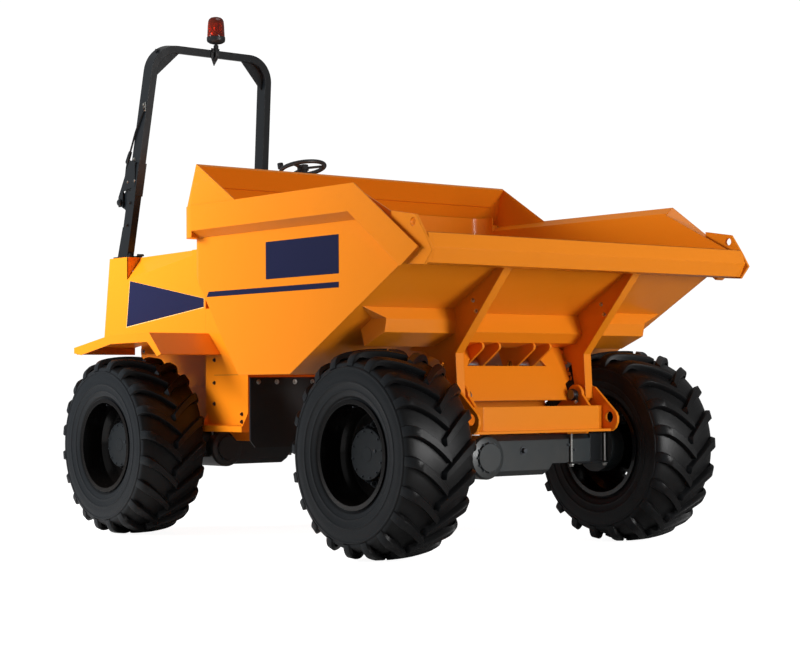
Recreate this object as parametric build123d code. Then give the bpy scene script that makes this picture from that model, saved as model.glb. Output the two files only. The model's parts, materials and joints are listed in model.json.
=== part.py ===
from build123d import *
import math
import os

# Site dumper with centre articulation and a forward tipping skip, in millimetres.
# Working coordinates: X forward from the middle of the wheelbase, Y to the left,
# Z up from the ground. Every node is moved by frame_shift at the end, so that the
# origin lies under the middle of the machine's bounding box.

# ---------------------------------------------------------------- driving sizes
wheelbase = 2634.0
track = 1900.0

tyre_radius = 580.0
tyre_width = 480.0
bead_radius = 286.0
rim_flange_radius = 303.0
rim_flange_offset = 216.0
rim_wall = 9.0
disc_offset = 12.0
disc_thickness = 16.0
hub_cap_radius = 146.0
hub_cap_offset = 95.0
spindle_radius = 45.0

axle_casing_top = 84.0
axle_casing_bottom = 150.0
axle_end_bottom = 86.0
axle_casing_depth = 95.0
axle_pad = 17.0
diff_radius = 125.0
diff_y = -310.0
diff_drop = 35.0
diff_reach = 85.0
hub_carrier_radius = 150.0
hub_carrier_end = 790.0

plate = 8.0
heavy_plate = 20.0
running = 0.08
gap = 6.0

skip_half_width = 1188.0
rim_depth = 62.0
rim_bottom = 1895.0
rim_top = 2046.0
strip_drop = 40.0
rim_slope_drop = 46.0
rim_slope_run = 64.0
skip_rear = -252.0
skip_corner_radius = 115.0
skip_knee_z = 1713.0
skip_bottom_z = 1024.0
skip_bottom_rear = 271.0
skip_bottom_front = 787.0
lip_x = 2037.0
lip_z = 1737.0
rim_knee_x = 1463.0
rim_front_x = 2006.0
rim_front_z = 1671.0
headboard_top_x = -94.0
headboard_top_z = 2295.0
headboard_foot_x = 315.0
headboard_band_z = 2172.0
headboard_band = 22.0
rear_wall_top = 2096.0
nose_plate_y = 1212.0
nose_plate_thickness = 16.0
nose_hole_x = 1940.0
nose_hole_z = 1802.0

pivot_x = 1415.0
pivot_z = 895.0
pivot_pin_radius = 30.0
arm_y = 500.0
arm_thickness = 16.0
arm_flange_width = 58.0
arm_flange_thickness = 12.0

lug_plate_y = 445.0
ear_y = 539.0
ear_thickness = 18.0
ear_eye_x = 1603.0
ear_eye_z = 764.0
ear_eye_radius = 33.0
base_plate_front = 1621.0
base_plate_z = tyre_radius + axle_casing_top + axle_pad
base_plate_thickness = 15.0
base_plate_half = 548.0
beam_front_x = 1600.0
beam_bottom = base_plate_z + base_plate_thickness
beam_top = beam_bottom + 136.0

bolster_heel = (1243.0, 1174.0)
bolster_back_x = 1215.0
front_plate_foot = (1388.0, 866.0)
front_plate_thickness = 12.0
front_plate_half = 470.0
front_plate_foot_half = 424.0
window_bottom = 1066.0
window_half = 310.0

ram_y = 200.0
tip_barrel_x = 480.0
tip_barrel_z = 770.0
tip_eye_x = 1180.0
tip_eye_z = 1075.0
tip_barrel_radius = 52.0
tip_rod_radius = 28.0
ram_eye_width = 2 * tip_barrel_radius - 4
clevis_plate = 16.0
ram_pin_radius = 20.0
steer_pin_radius = 14.0
steer_eye_width = 44.0

link_z = 775.0
art_pin_radius = 40.0
osc_shaft_radius = 60.0
bearing_rear = -474.0
steer_y = 230.0
steer_barrel_x = -190.0
steer_barrel_length = 320.0
steer_rod_length = 310.0
steer_eye_x = 300.0
steer_barrel_radius = 38.0
steer_rod_radius = 20.0

body_half_width = 650.0
body_rear = -2170.0
body_rear_lean = 0.14
body_top = 1860.0
body_bottom = 1250.0
body_corner_radius = 60.0
recess_rear = -1890.0
recess_front = -1060.0
recess_foot_z = 1700.0
recess_depth = 110.0
recess_front_depth = 26.0
body_front_top_x = -1000.0
floor_z = 1465.0
bonnet_half_width = 430.0
bonnet_front = -1720.0
bonnet_bottom = 1280.0
bonnet_seat_z = body_top - 46
bonnet_hinge_x = bonnet_front + 3
hinge_radius = 6.0
hinge_leaf = 40.0
hinge_y = 300.0
louvre_count = 9
footwell_front = -416.0
footwell_rear = -885.0
footwell_bottom = 668.0
step_reach = 50.0
step_height = 122.0

fender_outer_y = 1100.0
fender_top_z = 1304.0
fender_flange = 62.0
fender_close_x = -1790.0
fender_close_z = 1178.0

rops_foot_x = -2046.0
rops_lean = 0.155
rops_inward = 0.061
rops_foot_half_width = 588.0
rops_depth = 104.0
rops_width = 52.0
rops_top_z = 3361.0
rops_bend_radius = 178.0
fold_z = 2330.0
fold_pin_x = -2120.0
fold_pin_z = 2262.0

steering_wheel_x = -707.0
steering_wheel_z = 2410.0
steering_wheel_radius = 160.0
column_tilt = 13.0

hitch_rear = -2300.0

front_axle_x = wheelbase / 2
rear_axle_x = -wheelbase / 2
wheel_y = track / 2
rim_half_width = skip_half_width + rim_depth
lip_nose_x = 2090.0
frame_shift = -(lip_nose_x + hitch_rear) / 2

nodes = {}


# ---------------------------------------------------------------- form helpers
def block(x0, x1, y0, y1, z0, z1):
    """A box between two corners."""
    size = Box(x1 - x0, y1 - y0, z1 - z0)
    return Pos((x0 + x1) / 2, (y0 + y1) / 2, (z0 + z1) / 2) * size


def plate_xz(points, y0, y1):
    """A plate whose outline is drawn in X and Z, between two Y faces."""
    plane = Plane(origin=(0, y1, 0), x_dir=(1, 0, 0), z_dir=(0, -1, 0))
    return extrude(plane * make_face(Polyline(*points, close=True)), amount=y1 - y0)


def plate_yz(points, x0, x1):
    """A plate whose outline is drawn in Y and Z, between two X faces."""
    plane = Plane(origin=(x0, 0, 0), x_dir=(0, 1, 0), z_dir=(1, 0, 0))
    return extrude(plane * make_face(Polyline(*points, close=True)), amount=x1 - x0)


def plate_xy(points, z0, z1):
    """A plate whose outline is drawn in X and Y, between two Z faces."""
    return Pos(0, 0, z0) * extrude(make_face(Polyline(*points, close=True)), amount=z1 - z0)


def bar(start, end, radius):
    """A round bar between two points."""
    start = Vector(*start)
    end = Vector(*end)
    axis = end - start
    plane = Plane(origin=start, z_dir=axis.normalized())
    return extrude(plane * Circle(radius), amount=axis.length)


def bar_y(x, z, radius, y0, y1):
    """A round bar along Y."""
    return bar((x, y0, z), (x, y1, z), radius)


def both_sides(shape):
    """A shape and its mirror image across the machine's centre plane."""
    return shape + mirror(shape, about=Plane.XZ)


def left_of(shape):
    """The mirror image across the machine's centre plane."""
    return mirror(shape, about=Plane.XZ)


# ---------------------------------------------------------------- wheels
def turned(outline):
    """Turns an outline of (radius, width) points about the Z axis."""
    standing = Plane(origin=(0, 0, 0), x_dir=(1, 0, 0), z_dir=(0, -1, 0))
    return revolve(standing * make_face(Polyline(*outline, close=True)), axis=Axis.Z)


def tyre():
    """Round shouldered flotation tyre, turned from half its section."""
    w = tyre_width
    half = [
        (tyre_radius, 0), (tyre_radius - 3, 0.20 * w), (tyre_radius - 12, 0.36 * w),
        (tyre_radius - 24, 0.43 * w), (tyre_radius - 54, 0.475 * w),
        (tyre_radius - 90, 0.495 * w), (tyre_radius - 150, 0.5 * w),
        (tyre_radius - 215, 0.485 * w), (bead_radius + 26, 0.43 * w),
        (bead_radius + 0.4, 0.42 * w),
    ]
    return turned(half + [(r, -y) for r, y in reversed(half[1:])])


def rim():
    """Drop centre rim with its disc and the turning half of the hub, open side at +Z."""
    flange = rim_flange_offset
    well = bead_radius - 40
    inner = bead_radius - rim_wall
    barrel = turned([
        (bead_radius, -flange + rim_wall), (rim_flange_radius, -flange + rim_wall),
        (rim_flange_radius, -flange), (inner, -flange), (inner, -0.45 * flange),
        (well, -0.30 * flange), (well, 0.10 * flange), (inner, 0.35 * flange),
        (inner, flange), (rim_flange_radius, flange), (rim_flange_radius, flange - rim_wall),
        (bead_radius, flange - rim_wall), (bead_radius, 0.30 * flange),
        (well + rim_wall, 0.06 * flange), (well + rim_wall, -0.26 * flange),
        (bead_radius, -0.50 * flange),
    ])
    disc = Cylinder(well + 2, disc_thickness)
    for hole in PolarLocations(0.74 * well, 8):
        disc -= hole * Cylinder(0.10 * well, 2 * disc_thickness)
    back = hub_carrier_end + gap - wheel_y
    hub = Pos(0, 0, (back + hub_cap_offset) / 2) * Cylinder(hub_cap_radius, hub_cap_offset - back)
    hub = chamfer(hub.edges().group_by(Axis.Z)[-1], 14)
    bore = Pos(0, 0, back + 40) * Cylinder(spindle_radius + running, 80)
    return barrel + Pos(0, 0, disc_offset) * disc + hub - bore


def add_wheels():
    """The four wheels, each a tyre and a rim, with the rim's open side outward."""
    places = [
        ("front_right", front_axle_x, -1), ("front_left", front_axle_x, 1),
        ("rear_right", rear_axle_x, -1), ("rear_left", rear_axle_x, 1),
    ]
    tyre_solid = tyre()
    rim_solid = rim()
    for name, x, side in places:
        place = Pos(x, side * wheel_y, tyre_radius) * Rot(-90 * side, 0, 0)
        nodes["tyre_" + name] = place * tyre_solid
        nodes["rim_" + name] = place * rim_solid


def axle(x):
    """Drive axle: a stepped casing, the differential's round housing, hub carriers and spindles."""
    d = axle_casing_depth
    low = axle_casing_bottom
    top = axle_casing_top
    z = tyre_radius
    end = axle_end_bottom
    side = [(0, -low), (200, -low), (250, -end), (640, -end), (640, 66), (560, top), (0, top)]
    casing = plate_yz([(y, z + v) for y, v in side], x - d, x + d)
    c = 30.0
    casing &= plate_xz([
        (x - d, z - low + c), (x - d + c, z - low), (x + d - c, z - low), (x + d, z - low + c),
        (x + d, z + top - c), (x + d - c, z + top), (x - d + c, z + top), (x - d, z + top - c),
    ], 0, 700)
    shape = both_sides(casing)
    depth = d + diff_reach
    bulge = turned([(0, -depth), (diff_radius - 45, -depth), (diff_radius - 40, -depth + 14),
                    (diff_radius - 8, -depth + 20), (diff_radius, -depth + 34), (diff_radius, depth - 34),
                    (diff_radius - 8, depth - 20), (diff_radius - 40, depth - 14),
                    (diff_radius - 45, depth), (0, depth)])
    shape += Pos(x, diff_y, z - diff_drop) * Rot(0, 90, 0) * bulge
    for start, stop, radius in [(628, 700, 96), (690, hub_carrier_end, hub_carrier_radius),
                               (hub_carrier_end - 5, hub_carrier_end + 76, spindle_radius)]:
        shape += both_sides(bar_y(x, z, radius, start, stop))
    return shape


# ---------------------------------------------------------------- skip
def line_z(x):
    """Height of the skip floor's underside at x, on the long front slope."""
    rise = (lip_z - skip_bottom_z) / (lip_x - skip_bottom_front)
    return skip_bottom_z + (x - skip_bottom_front) * rise


def corner_slivers(rear, half, radius, z0, z1):
    """The two upright slivers that a rounded rear corner cuts off."""
    square = block(rear - 50, rear + radius, -half - 50, -half + radius, z0, z1)
    disc = Pos(rear + radius, -half + radius, (z0 + z1) / 2) * Cylinder(radius, z1 - z0 + 2)
    return both_sides(square - disc)


def skip_tub():
    """The folded tub: upright rear, sloped rear, flat bottom and long front slope."""
    high = rim_top + 400
    outline = [
        (skip_rear, high), (skip_rear, skip_knee_z), (skip_bottom_rear, skip_bottom_z),
        (skip_bottom_front, skip_bottom_z), (lip_x, lip_z), (lip_x + 100, lip_z + 57),
        (lip_x + 100, high),
    ]
    outer = plate_xz(outline, -skip_half_width, skip_half_width)
    outer -= corner_slivers(skip_rear, skip_half_width, skip_corner_radius, 900, high)
    plane = Plane(origin=(0, 0, 0), x_dir=(1, 0, 0), z_dir=(0, -1, 0))
    inner_face = offset(plane * make_face(Polyline(*outline, close=True)), amount=-plate)
    inner = extrude(inner_face, amount=skip_half_width - plate, both=True)
    inner -= corner_slivers(skip_rear + plate, skip_half_width - plate,
                            skip_corner_radius - plate, 900, high)
    edge = rim_top - rim_slope_drop - 2
    slope = (rim_top - rim_front_z) / (rim_front_x - rim_knee_x)
    cut = plate_xz([
        (skip_rear - 100, rear_wall_top), (skip_rear + skip_corner_radius, rear_wall_top),
        (skip_rear + skip_corner_radius, edge), (rim_knee_x, edge),
        (lip_x, edge - (lip_x - rim_knee_x) * slope * 0.72),
        (lip_x, lip_z - 200), (lip_x + 300, lip_z - 200), (lip_x + 300, high + 100),
        (skip_rear - 100, high + 100),
    ], -2000, 2000)
    return outer - inner - cut


def add_skip_panels():
    """The tub divided along its welds into rear wall, floor and two sides."""
    tub = skip_tub()
    side_x = skip_rear + skip_corner_radius
    seam_y = skip_half_width - plate
    seam_x = skip_bottom_rear + 4
    rear = block(-2000, seam_x, -seam_y, seam_y, 0, 3000) + block(-2000, side_x, -2000, 2000, 1000, 3000)
    floor = block(seam_x, 3000, -seam_y, seam_y, 0, 3000)
    sides = block(side_x, 3000, -2000, -seam_y, 0, 3000)
    nodes["skip_rear_wall"] = tub & rear
    nodes["skip_floor"] = (tub & floor) + lip()
    nodes["skip_side_right"] = tub & sides
    nodes["skip_side_left"] = left_of(nodes["skip_side_right"])


def headboard_form(inset, half, radius):
    """A wedge over the rear rim whose rear corners run as cones up to the two tips."""
    base_z = rim_top - 40
    rise = (headboard_top_z - rim_top) / (headboard_top_x - (skip_rear - rim_depth))
    foot = skip_rear - rim_depth + inset
    tip = (headboard_top_x + inset, headboard_top_z)
    base = foot + (base_z - rim_top) / rise
    front = headboard_foot_x + (rim_top - base_z) * (headboard_foot_x - headboard_top_x) / (
        headboard_top_z - rim_top)
    wedge = plate_xz([(base, base_z), (front, base_z), tip], -half, half)
    square = Pos(0, 0, base_z) * make_face(Polyline(
        (base - 1, -half - 1), (base + radius, -half - 1), (base + radius, -half + radius),
        (base - 1, -half + radius), close=True))
    disc = Pos(base + radius, -half + radius, base_z) * Circle(radius)
    sliver = loft([(square - disc).face(), Vertex(tip[0], -half - 1, tip[1] + 1)])
    return wedge - sliver - left_of(sliver)


def headboard():
    """The leaning plate above the rear rim, its folded top band and a wing at each side."""
    sheet = 7.0
    half = rim_half_width - 12
    radius = skip_corner_radius + rim_depth + 12
    outer = headboard_form(0, half, radius)
    hollow = headboard_form(sheet * 1.5, half - sheet, radius - sheet)
    form = outer - hollow
    lean = (headboard_top_x - (skip_rear - rim_depth)) / (headboard_top_z - rim_top)
    low = headboard_top_x - (headboard_top_z - headboard_band_z) * lean
    face = sheet * 1.5
    band = plate_xz([
        (headboard_top_x + face - 1, headboard_top_z),
        (headboard_top_x + face + headboard_band, headboard_top_z),
        (low + face + headboard_band, headboard_band_z), (low + face - 1, headboard_band_z),
    ], -half + sheet, half - sheet)
    form += band & outer
    return form - block(-2000, skip_rear + skip_corner_radius, -2000, 2000, 0, rim_top)


def lip_outline():
    """Section of the folded channel under the skip's front edge, in X and Z."""
    return [
        (lip_x, lip_z + 9), (lip_x + 34, lip_z - 73), (lip_x - 8, lip_z - 150),
        (lip_x - 130, lip_z - 150), (lip_x - 130, line_z(lip_x - 130)), (lip_x, lip_z),
    ]


def lip():
    """The folded channel under the skip's front edge."""
    return plate_xz(lip_outline(), -skip_half_width, skip_half_width)


def inward_slope(start, direction, up):
    """Half space above the left rim's top face, which falls inward from its outer edge."""
    fall = Vector(*up) * rim_slope_run - Vector(0, 1, 0) * rim_slope_drop
    plane = Plane(origin=start, x_dir=direction, z_dir=fall.normalized())
    return extrude(plane * Rectangle(6000, 240), amount=200)


def skip_rim():
    """The box section rim round the sides and rear, its front slopes and nose plates."""
    d = rim_depth
    high = rim_top
    half = rim_half_width
    base = block(skip_rear - d, rim_knee_x, -half, half, rim_bottom - strip_drop, high)
    base -= corner_slivers(skip_rear - d, half, skip_corner_radius + d, 900, high + 50)
    core = block(skip_rear, rim_knee_x + 5, -skip_half_width, skip_half_width, 0, high + 50)
    core -= corner_slivers(skip_rear, skip_half_width, skip_corner_radius, 900, high + 100)
    ring = base - core
    under = plate_yz([(half + 10, rim_bottom - strip_drop - 1), (half + 10, rim_bottom + 6),
                      (skip_half_width, rim_bottom - strip_drop - 1)], skip_rear + 120, rim_knee_x)
    ring -= both_sides(under)
    rear_under = plate_xz([(skip_rear - d - 10, rim_bottom - strip_drop - 1),
                           (skip_rear - d - 10, rim_bottom + 6),
                           (skip_rear, rim_bottom - strip_drop - 1)], -half, half)
    ring -= rear_under
    edge = half - 6
    straight = skip_rear + skip_corner_radius
    fall = inward_slope((rim_knee_x, edge, high), (1, 0, 0), (0, 0, 1))
    ring -= both_sides(fall & block(straight, 3000, 0, 2000, 0, 3000))
    ring -= plate_xz([
        (skip_rear - d + 12, high), (skip_rear - d + 12 + 4 * rim_slope_run, high),
        (skip_rear - d + 12 + 4 * rim_slope_run, high - 4 * rim_slope_drop),
    ], -half + d + skip_corner_radius, half - d - skip_corner_radius)
    slope = plate_xz([
        (rim_knee_x, high), (rim_front_x, rim_front_z), (rim_front_x - 148, rim_front_z - 95),
        (rim_knee_x - 51, rim_bottom), (rim_knee_x, rim_bottom),
    ], skip_half_width, half)
    along = Vector(rim_front_x - rim_knee_x, 0, rim_front_z - high).normalized()
    slope -= inward_slope((rim_knee_x, edge, high), tuple(along), (-along.Z, 0, along.X))
    nose = plate_xz([
        (lip_x - 276, lip_z + 96), (lip_x - 276, lip_z + 136), (lip_x - 76, lip_z + 104),
        (lip_nose_x - 52, lip_z - 5), (lip_nose_x, lip_z - 90), (lip_nose_x - 60, lip_z - 160),
        (lip_x - 150, lip_z - 150),
    ], nose_plate_y, nose_plate_y + nose_plate_thickness)
    nose -= bar_y(nose_hole_x, nose_hole_z, 22, 0, 2000)
    cheek = plate_xz(lip_outline(), skip_half_width, nose_plate_y)
    return ring + both_sides(slope) + both_sides(nose + cheek) + headboard()


def bolster(front, y0, y1, end):
    """Folded box under the front slope between two distances from the middle, end tapered."""
    outline = front + [bolster_heel, (bolster_back_x, line_z(bolster_back_x))]
    plane = Plane(origin=(0, y1, 0), x_dir=(1, 0, 0), z_dir=(0, -1, 0))
    face = plane * make_face(Polyline(*outline, close=True))
    shape = extrude(face, amount=y1 - y0)
    hollow = extrude(offset(face, amount=-plate), amount=y1 - y0)
    for shift in (0, plate):
        trim = plate_yz([(y0 - 1, 1500), (y1 + 1 - shift, 1500), (y1 + 1 - shift, 1394),
                         (end - shift, 1324), (end - shift, 1100), (y0 - 1, 1100)], 1100, 1600)
        if shift:
            hollow &= trim
        else:
            shape &= trim
    return shape - hollow


def skip_arm():
    """Carrying arm under the front slope: web, front flange, pivot boss and outer bolster."""
    top = (1860.0, line_z(1860.0) - 36)
    knee = (1445.0, 1140.0)
    foot = (pivot_x + 45, pivot_z - 20)
    web = plate_xz([
        (1020.0, line_z(1020.0)), (top[0] - 10, line_z(top[0] - 10)), top, knee, foot,
        (pivot_x - 45, pivot_z - 20), (1330.0, 1080.0), (1140.0, 1150.0),
    ], -arm_y - arm_thickness / 2, -arm_y + arm_thickness / 2)
    t = arm_flange_thickness
    flange = plate_xz([
        top, (top[0] + 0.74 * t, top[1] - 0.67 * t), (knee[0] + t, knee[1] - 5),
        (foot[0] + t, foot[1]), foot, knee,
    ], -arm_y - arm_flange_width / 2, -arm_y + arm_flange_width / 2)
    boss = bar_y(pivot_x, pivot_z, 52, -arm_y - 20, -arm_y + 30)
    bore = bar_y(pivot_x, pivot_z, pivot_pin_radius + running, -arm_y - 60, -arm_y + 60)
    front = [(1421.0, line_z(1421.0)), (1440.0, 1319.0), (1425.0, 1247.0)]
    start = arm_y + arm_thickness / 2
    outer = left_of(bolster(front, start, skip_half_width - plate, skip_half_width - 178))
    return web + flange + boss + outer - bore


def clevis_ribs():
    """The four ribs under the skip floor that hold the two ram eyes, their noses in front."""
    outline = [(1070.0, line_z(1070.0)), (bolster_back_x, line_z(bolster_back_x)), bolster_heel,
               (1372.0, 1199.0), (1384.0, 1196.0), (1391.0, 1187.0), (1393.0, 1174.0),
               (1386.0, 1160.0), (1250.0, 1070.0),
               (tip_eye_x + 40, tip_eye_z - 46), (tip_eye_x - 40, tip_eye_z - 46)]
    inner = ram_eye_width / 2 + gap
    rib = plate_xz(outline, ram_y + inner, ram_y + inner + clevis_plate)
    rib += plate_xz(outline, ram_y - inner - clevis_plate, ram_y - inner)
    rib -= bar_y(tip_eye_x, tip_eye_z, 26, 0, 500)
    return both_sides(rib)


def front_plate():
    """Leaning plate between the arms with its window, stitched to the arms by short tabs."""
    t = front_plate_thickness
    run = Vector(front_plate_foot[0] - bolster_heel[0], 0, front_plate_foot[1] - bolster_heel[1])
    back = Vector(run.Z, 0, -run.X).normalized() * t
    inner = arm_y - arm_thickness / 2
    sheet = plate_xz([
        (bolster_heel[0] + t, bolster_heel[1] + t / 2), front_plate_foot,
        (front_plate_foot[0] + back.X, front_plate_foot[1] + back.Z),
        (bolster_heel[0] + back.X, bolster_heel[1]),
    ], -inner, inner)
    outline = [(front_plate_half, 1200), (front_plate_half, 985), (front_plate_foot_half, 960),
               (front_plate_foot_half, 884), (front_plate_foot_half - 18, 850)]
    keep = plate_yz(outline + [(-y, z) for y, z in reversed(outline)], 1100, 1500)
    for z in (1010, 1076, 1142):
        keep += block(1100, 1500, -inner, inner, z, z + 20)
    rib_edge = ram_y + ram_eye_width / 2 + gap + clevis_plate
    corner = [(window_half, window_bottom), (rib_edge, window_bottom + 42), (rib_edge, 1190)]
    window = plate_yz(corner + [(-y, z) for y, z in reversed(corner)], 1100, 1500)
    return (sheet & keep) - window


def cross_plate():
    """Bolster between the arms with the front plate and the ram ribs under it."""
    inner = arm_y - arm_thickness / 2
    front = [(1385.0, line_z(1385.0)), (1424.0, 1256.0), (1372.0, 1199.0)]
    middle = bolster(front, -inner, inner, inner + plate + 2)
    return middle + front_plate() + clevis_ribs()


def add_skip():
    """Everything that tips."""
    add_skip_panels()
    nodes["skip_rim"] = skip_rim()
    nodes["skip_arm_right"] = skip_arm()
    nodes["skip_arm_left"] = left_of(nodes["skip_arm_right"])
    nodes["skip_cross_plate"] = cross_plate()


# ---------------------------------------------------------------- front frame
def front_chassis():
    """Two long side plates with pivot lugs, outer ears, front beam, base and rear yokes."""
    t = heavy_plate
    y0 = lug_plate_y - t / 2
    y1 = lug_plate_y + t / 2
    rail = plate_xz([
        (140, base_plate_z), (1560, base_plate_z), (1560, 800), (pivot_x + 60, pivot_z),
        (pivot_x - 60, pivot_z), (1250, 820), (560, 820), (400, 900), (140, 900),
    ], y0, y1)
    rail += bar_y(pivot_x, pivot_z, 60, y0, y1)
    rail -= bar_y(pivot_x, pivot_z, pivot_pin_radius, 0, 1000)
    ear = plate_xz([
        (1180, base_plate_z), (base_plate_front, base_plate_z), (1652, 702), (1668, 734), (1669, 766),
        (1656, 792), (1484, 940),
        (pivot_x, pivot_z + 62), (pivot_x - 62, pivot_z), (1300, 800), (1180, 760),
    ], ear_y - ear_thickness / 2, ear_y + ear_thickness / 2)
    ear -= bar_y(pivot_x, pivot_z, pivot_pin_radius, 0, 1000)
    ear -= bar_y(ear_eye_x, ear_eye_z, ear_eye_radius, 0, 1000)
    shape = both_sides(rail + ear)
    face = plate_xy([
        (1500, -ear_y + 10), (1545, -ear_y + 10), (beam_front_x, -450), (beam_front_x, 450),
        (1545, ear_y - 10), (1500, ear_y - 10),
    ], beam_bottom, beam_top)
    face -= block(1300, beam_front_x - 16, -y0, y0, 0, 3000)
    base = block(1180, base_plate_front, -base_plate_half, base_plate_half, base_plate_z, beam_bottom)
    base -= block(1100, 1450, -y0 + 60, y0 - 60, 0, 3000)
    base += both_sides(block(front_axle_x - axle_casing_depth, front_axle_x + axle_casing_depth,
                             y0 - 60, base_plate_half, base_plate_z - axle_pad, base_plate_z))
    tie = block(tip_barrel_x - 90, tip_barrel_x - 60, -y0, y0, 690, 890)
    shape += face + base + tie
    clevis = plate_xz([(tip_barrel_x - 62, 700), (tip_barrel_x + 20, 712), (tip_barrel_x + 50, tip_barrel_z),
                       (tip_barrel_x, tip_barrel_z + 52), (tip_barrel_x - 62, 860)],
                      ram_y + ram_eye_width / 2 + gap, ram_y + ram_eye_width / 2 + gap + clevis_plate)
    other = Pos(0, -ram_eye_width - 2 * gap - clevis_plate, 0) * clevis
    reach = ram_eye_width / 2 + gap + clevis_plate
    pin = bar_y(tip_barrel_x, tip_barrel_z, ram_pin_radius, ram_y - reach, ram_y + reach)
    shape += both_sides(clevis + other + pin)
    back = block(140, 165, -y0, y0, base_plate_z, 900)
    back -= block(100, 200, 90, y0 - 40, link_z - 52, link_z + 52)
    shape += back
    for low, high in [(link_z - 155, link_z - 127), (link_z + 127, link_z + 155)]:
        yoke = block(0, 145, -110, 110, low, high) + Pos(0, 0, (low + high) / 2) * Cylinder(110, high - low)
        shape += yoke - Pos(0, 0, link_z) * Cylinder(art_pin_radius, 400)
    for low, high in [(link_z - 155, base_plate_z + 8), (892, link_z + 155)]:
        shape += block(120, 165, -110, 110, low, high)
    web_top = link_z - steer_barrel_radius - 2 * gap
    eye_seat = link_z - steer_eye_width / 2 - 1
    shape += block(150, steer_eye_x + 60, steer_y - 50, steer_y + 50, web_top - 14, web_top)
    return shape + bar((steer_eye_x, steer_y, web_top - 14), (steer_eye_x, steer_y, eye_seat), 30)


def mudflap():
    """Rubber flap behind the right front wheel, on its bracket from the side plate."""
    flap = plate_yz([(-1165, 1010), (-620, 1010), (-620, 600), (-1130, 600), (-1165, 640)], 350, 360)
    bracket = block(360, 366, -1150, -lug_plate_y - heavy_plate / 2, 960, 1006)
    arm = block(366, 400, -640, -lug_plate_y - heavy_plate / 2, 880, 1006)
    return flap, bracket + arm


def pivot_pins():
    """The upright articulation pin and the two pins that carry the skip."""
    upright = Pos(0, 0, link_z) * Cylinder(art_pin_radius, 310)
    cap = Pos(0, 0, link_z + 155 + 8) * Cylinder(art_pin_radius + 22, 16)
    skip_pin = bar_y(pivot_x, pivot_z, pivot_pin_radius, -ear_y - 22, -lug_plate_y + 45)
    return upright + cap + both_sides(skip_pin)


# ---------------------------------------------------------------- centre joint
def centre_link():
    """Block that swings on the upright pin and rolls on its shaft in the rear frame."""
    h = 127 - gap / 2
    head = Pos(0, 0, link_z) * Cylinder(96, 2 * h)
    head += block(-130, 0, -90, 90, link_z - 92, link_z + 92)
    head += bar((-130, 0, link_z), (-130 - 22, 0, link_z), 100)
    head += bar((-150, 0, link_z), (bearing_rear - 25, 0, link_z), osc_shaft_radius)
    head += bar((bearing_rear - 0.5, 0, link_z), (bearing_rear - 25, 0, link_z), osc_shaft_radius + 18)
    head += block(-130, -60, 80, steer_y + 20, link_z - 60, link_z - 45)
    head += block(steer_barrel_x - 35, -60, steer_y - 30, steer_y + 36, link_z - 60, link_z - 45)
    head += Pos(steer_barrel_x, steer_y, link_z - 52.5) * Cylinder(36, 15)
    head += bar((steer_barrel_x, steer_y, link_z - 50), (steer_barrel_x, steer_y, link_z + 38),
                steer_pin_radius)
    return head - Pos(0, 0, link_z) * Cylinder(art_pin_radius + running, 400)


# ---------------------------------------------------------------- rams
def ram_barrel(start, end, radius, length, eye_axis, eye_width):
    """Ram barrel with its eye at start, aimed at end."""
    way = (Vector(*end) - Vector(*start)).normalized()
    stop = Vector(*start) + way * length
    tube = bar(tuple(Vector(*start) + way * 20), tuple(stop), radius)
    tube += bar(tuple(stop - way * 34), tuple(stop), radius + 6)
    half = Vector(*eye_axis) * (eye_width / 2)
    eye = bar(tuple(Vector(*start) - half), tuple(Vector(*start) + half), radius * 0.86)
    return tube + eye


def ram_rod(start, end, radius, reach, eye_axis, eye_width):
    """Ram rod with its eye at end, reaching back into the barrel."""
    way = (Vector(*end) - Vector(*start)).normalized()
    inner = Vector(*end) - way * reach
    rod = bar(tuple(inner), tuple(Vector(*end) - way * 16), radius)
    half = Vector(*eye_axis) * (eye_width / 2)
    eye = bar(tuple(Vector(*end) - half), tuple(Vector(*end) + half), radius * 1.55)
    return rod + eye


def add_rams():
    """Two tipping rams and the steering ram, each a barrel and a rod."""
    for name, side in [("right", -1), ("left", 1)]:
        start = (tip_barrel_x, side * ram_y, tip_barrel_z)
        end = (tip_eye_x, side * ram_y, tip_eye_z)
        barrel = ram_barrel(start, end, tip_barrel_radius, 600, (0, 1, 0), ram_eye_width)
        rod = ram_rod(start, end, tip_rod_radius, 640, (0, 1, 0), ram_eye_width)
        way = (Vector(*end) - Vector(*start)).normalized()
        room = bar(tuple(Vector(*start) + way * 100), tuple(Vector(*start) + way * 700),
                   tip_rod_radius + running)
        eye = bar_y(tip_barrel_x, tip_barrel_z, ram_pin_radius + running, -400, 400)
        nodes["tip_barrel_" + name] = barrel - room - eye
        nodes["tip_rod_" + name] = rod
    start = (steer_barrel_x, steer_y, link_z)
    end = (steer_eye_x, steer_y, link_z)
    barrel = ram_barrel(start, end, steer_barrel_radius, steer_barrel_length, (0, 0, 1), 60)
    rod = ram_rod(start, end, steer_rod_radius, steer_rod_length, (0, 0, 1), steer_eye_width)
    way = (Vector(*end) - Vector(*start)).normalized()
    room = bar(tuple(Vector(*start) + way * 50), tuple(Vector(*start) + way * 400),
               steer_rod_radius + running)
    eye = bar((steer_barrel_x, steer_y, 0), (steer_barrel_x, steer_y, 2000), steer_pin_radius + running)
    nodes["steer_barrel"] = barrel - room - eye
    nodes["steer_rod"] = rod


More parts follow.
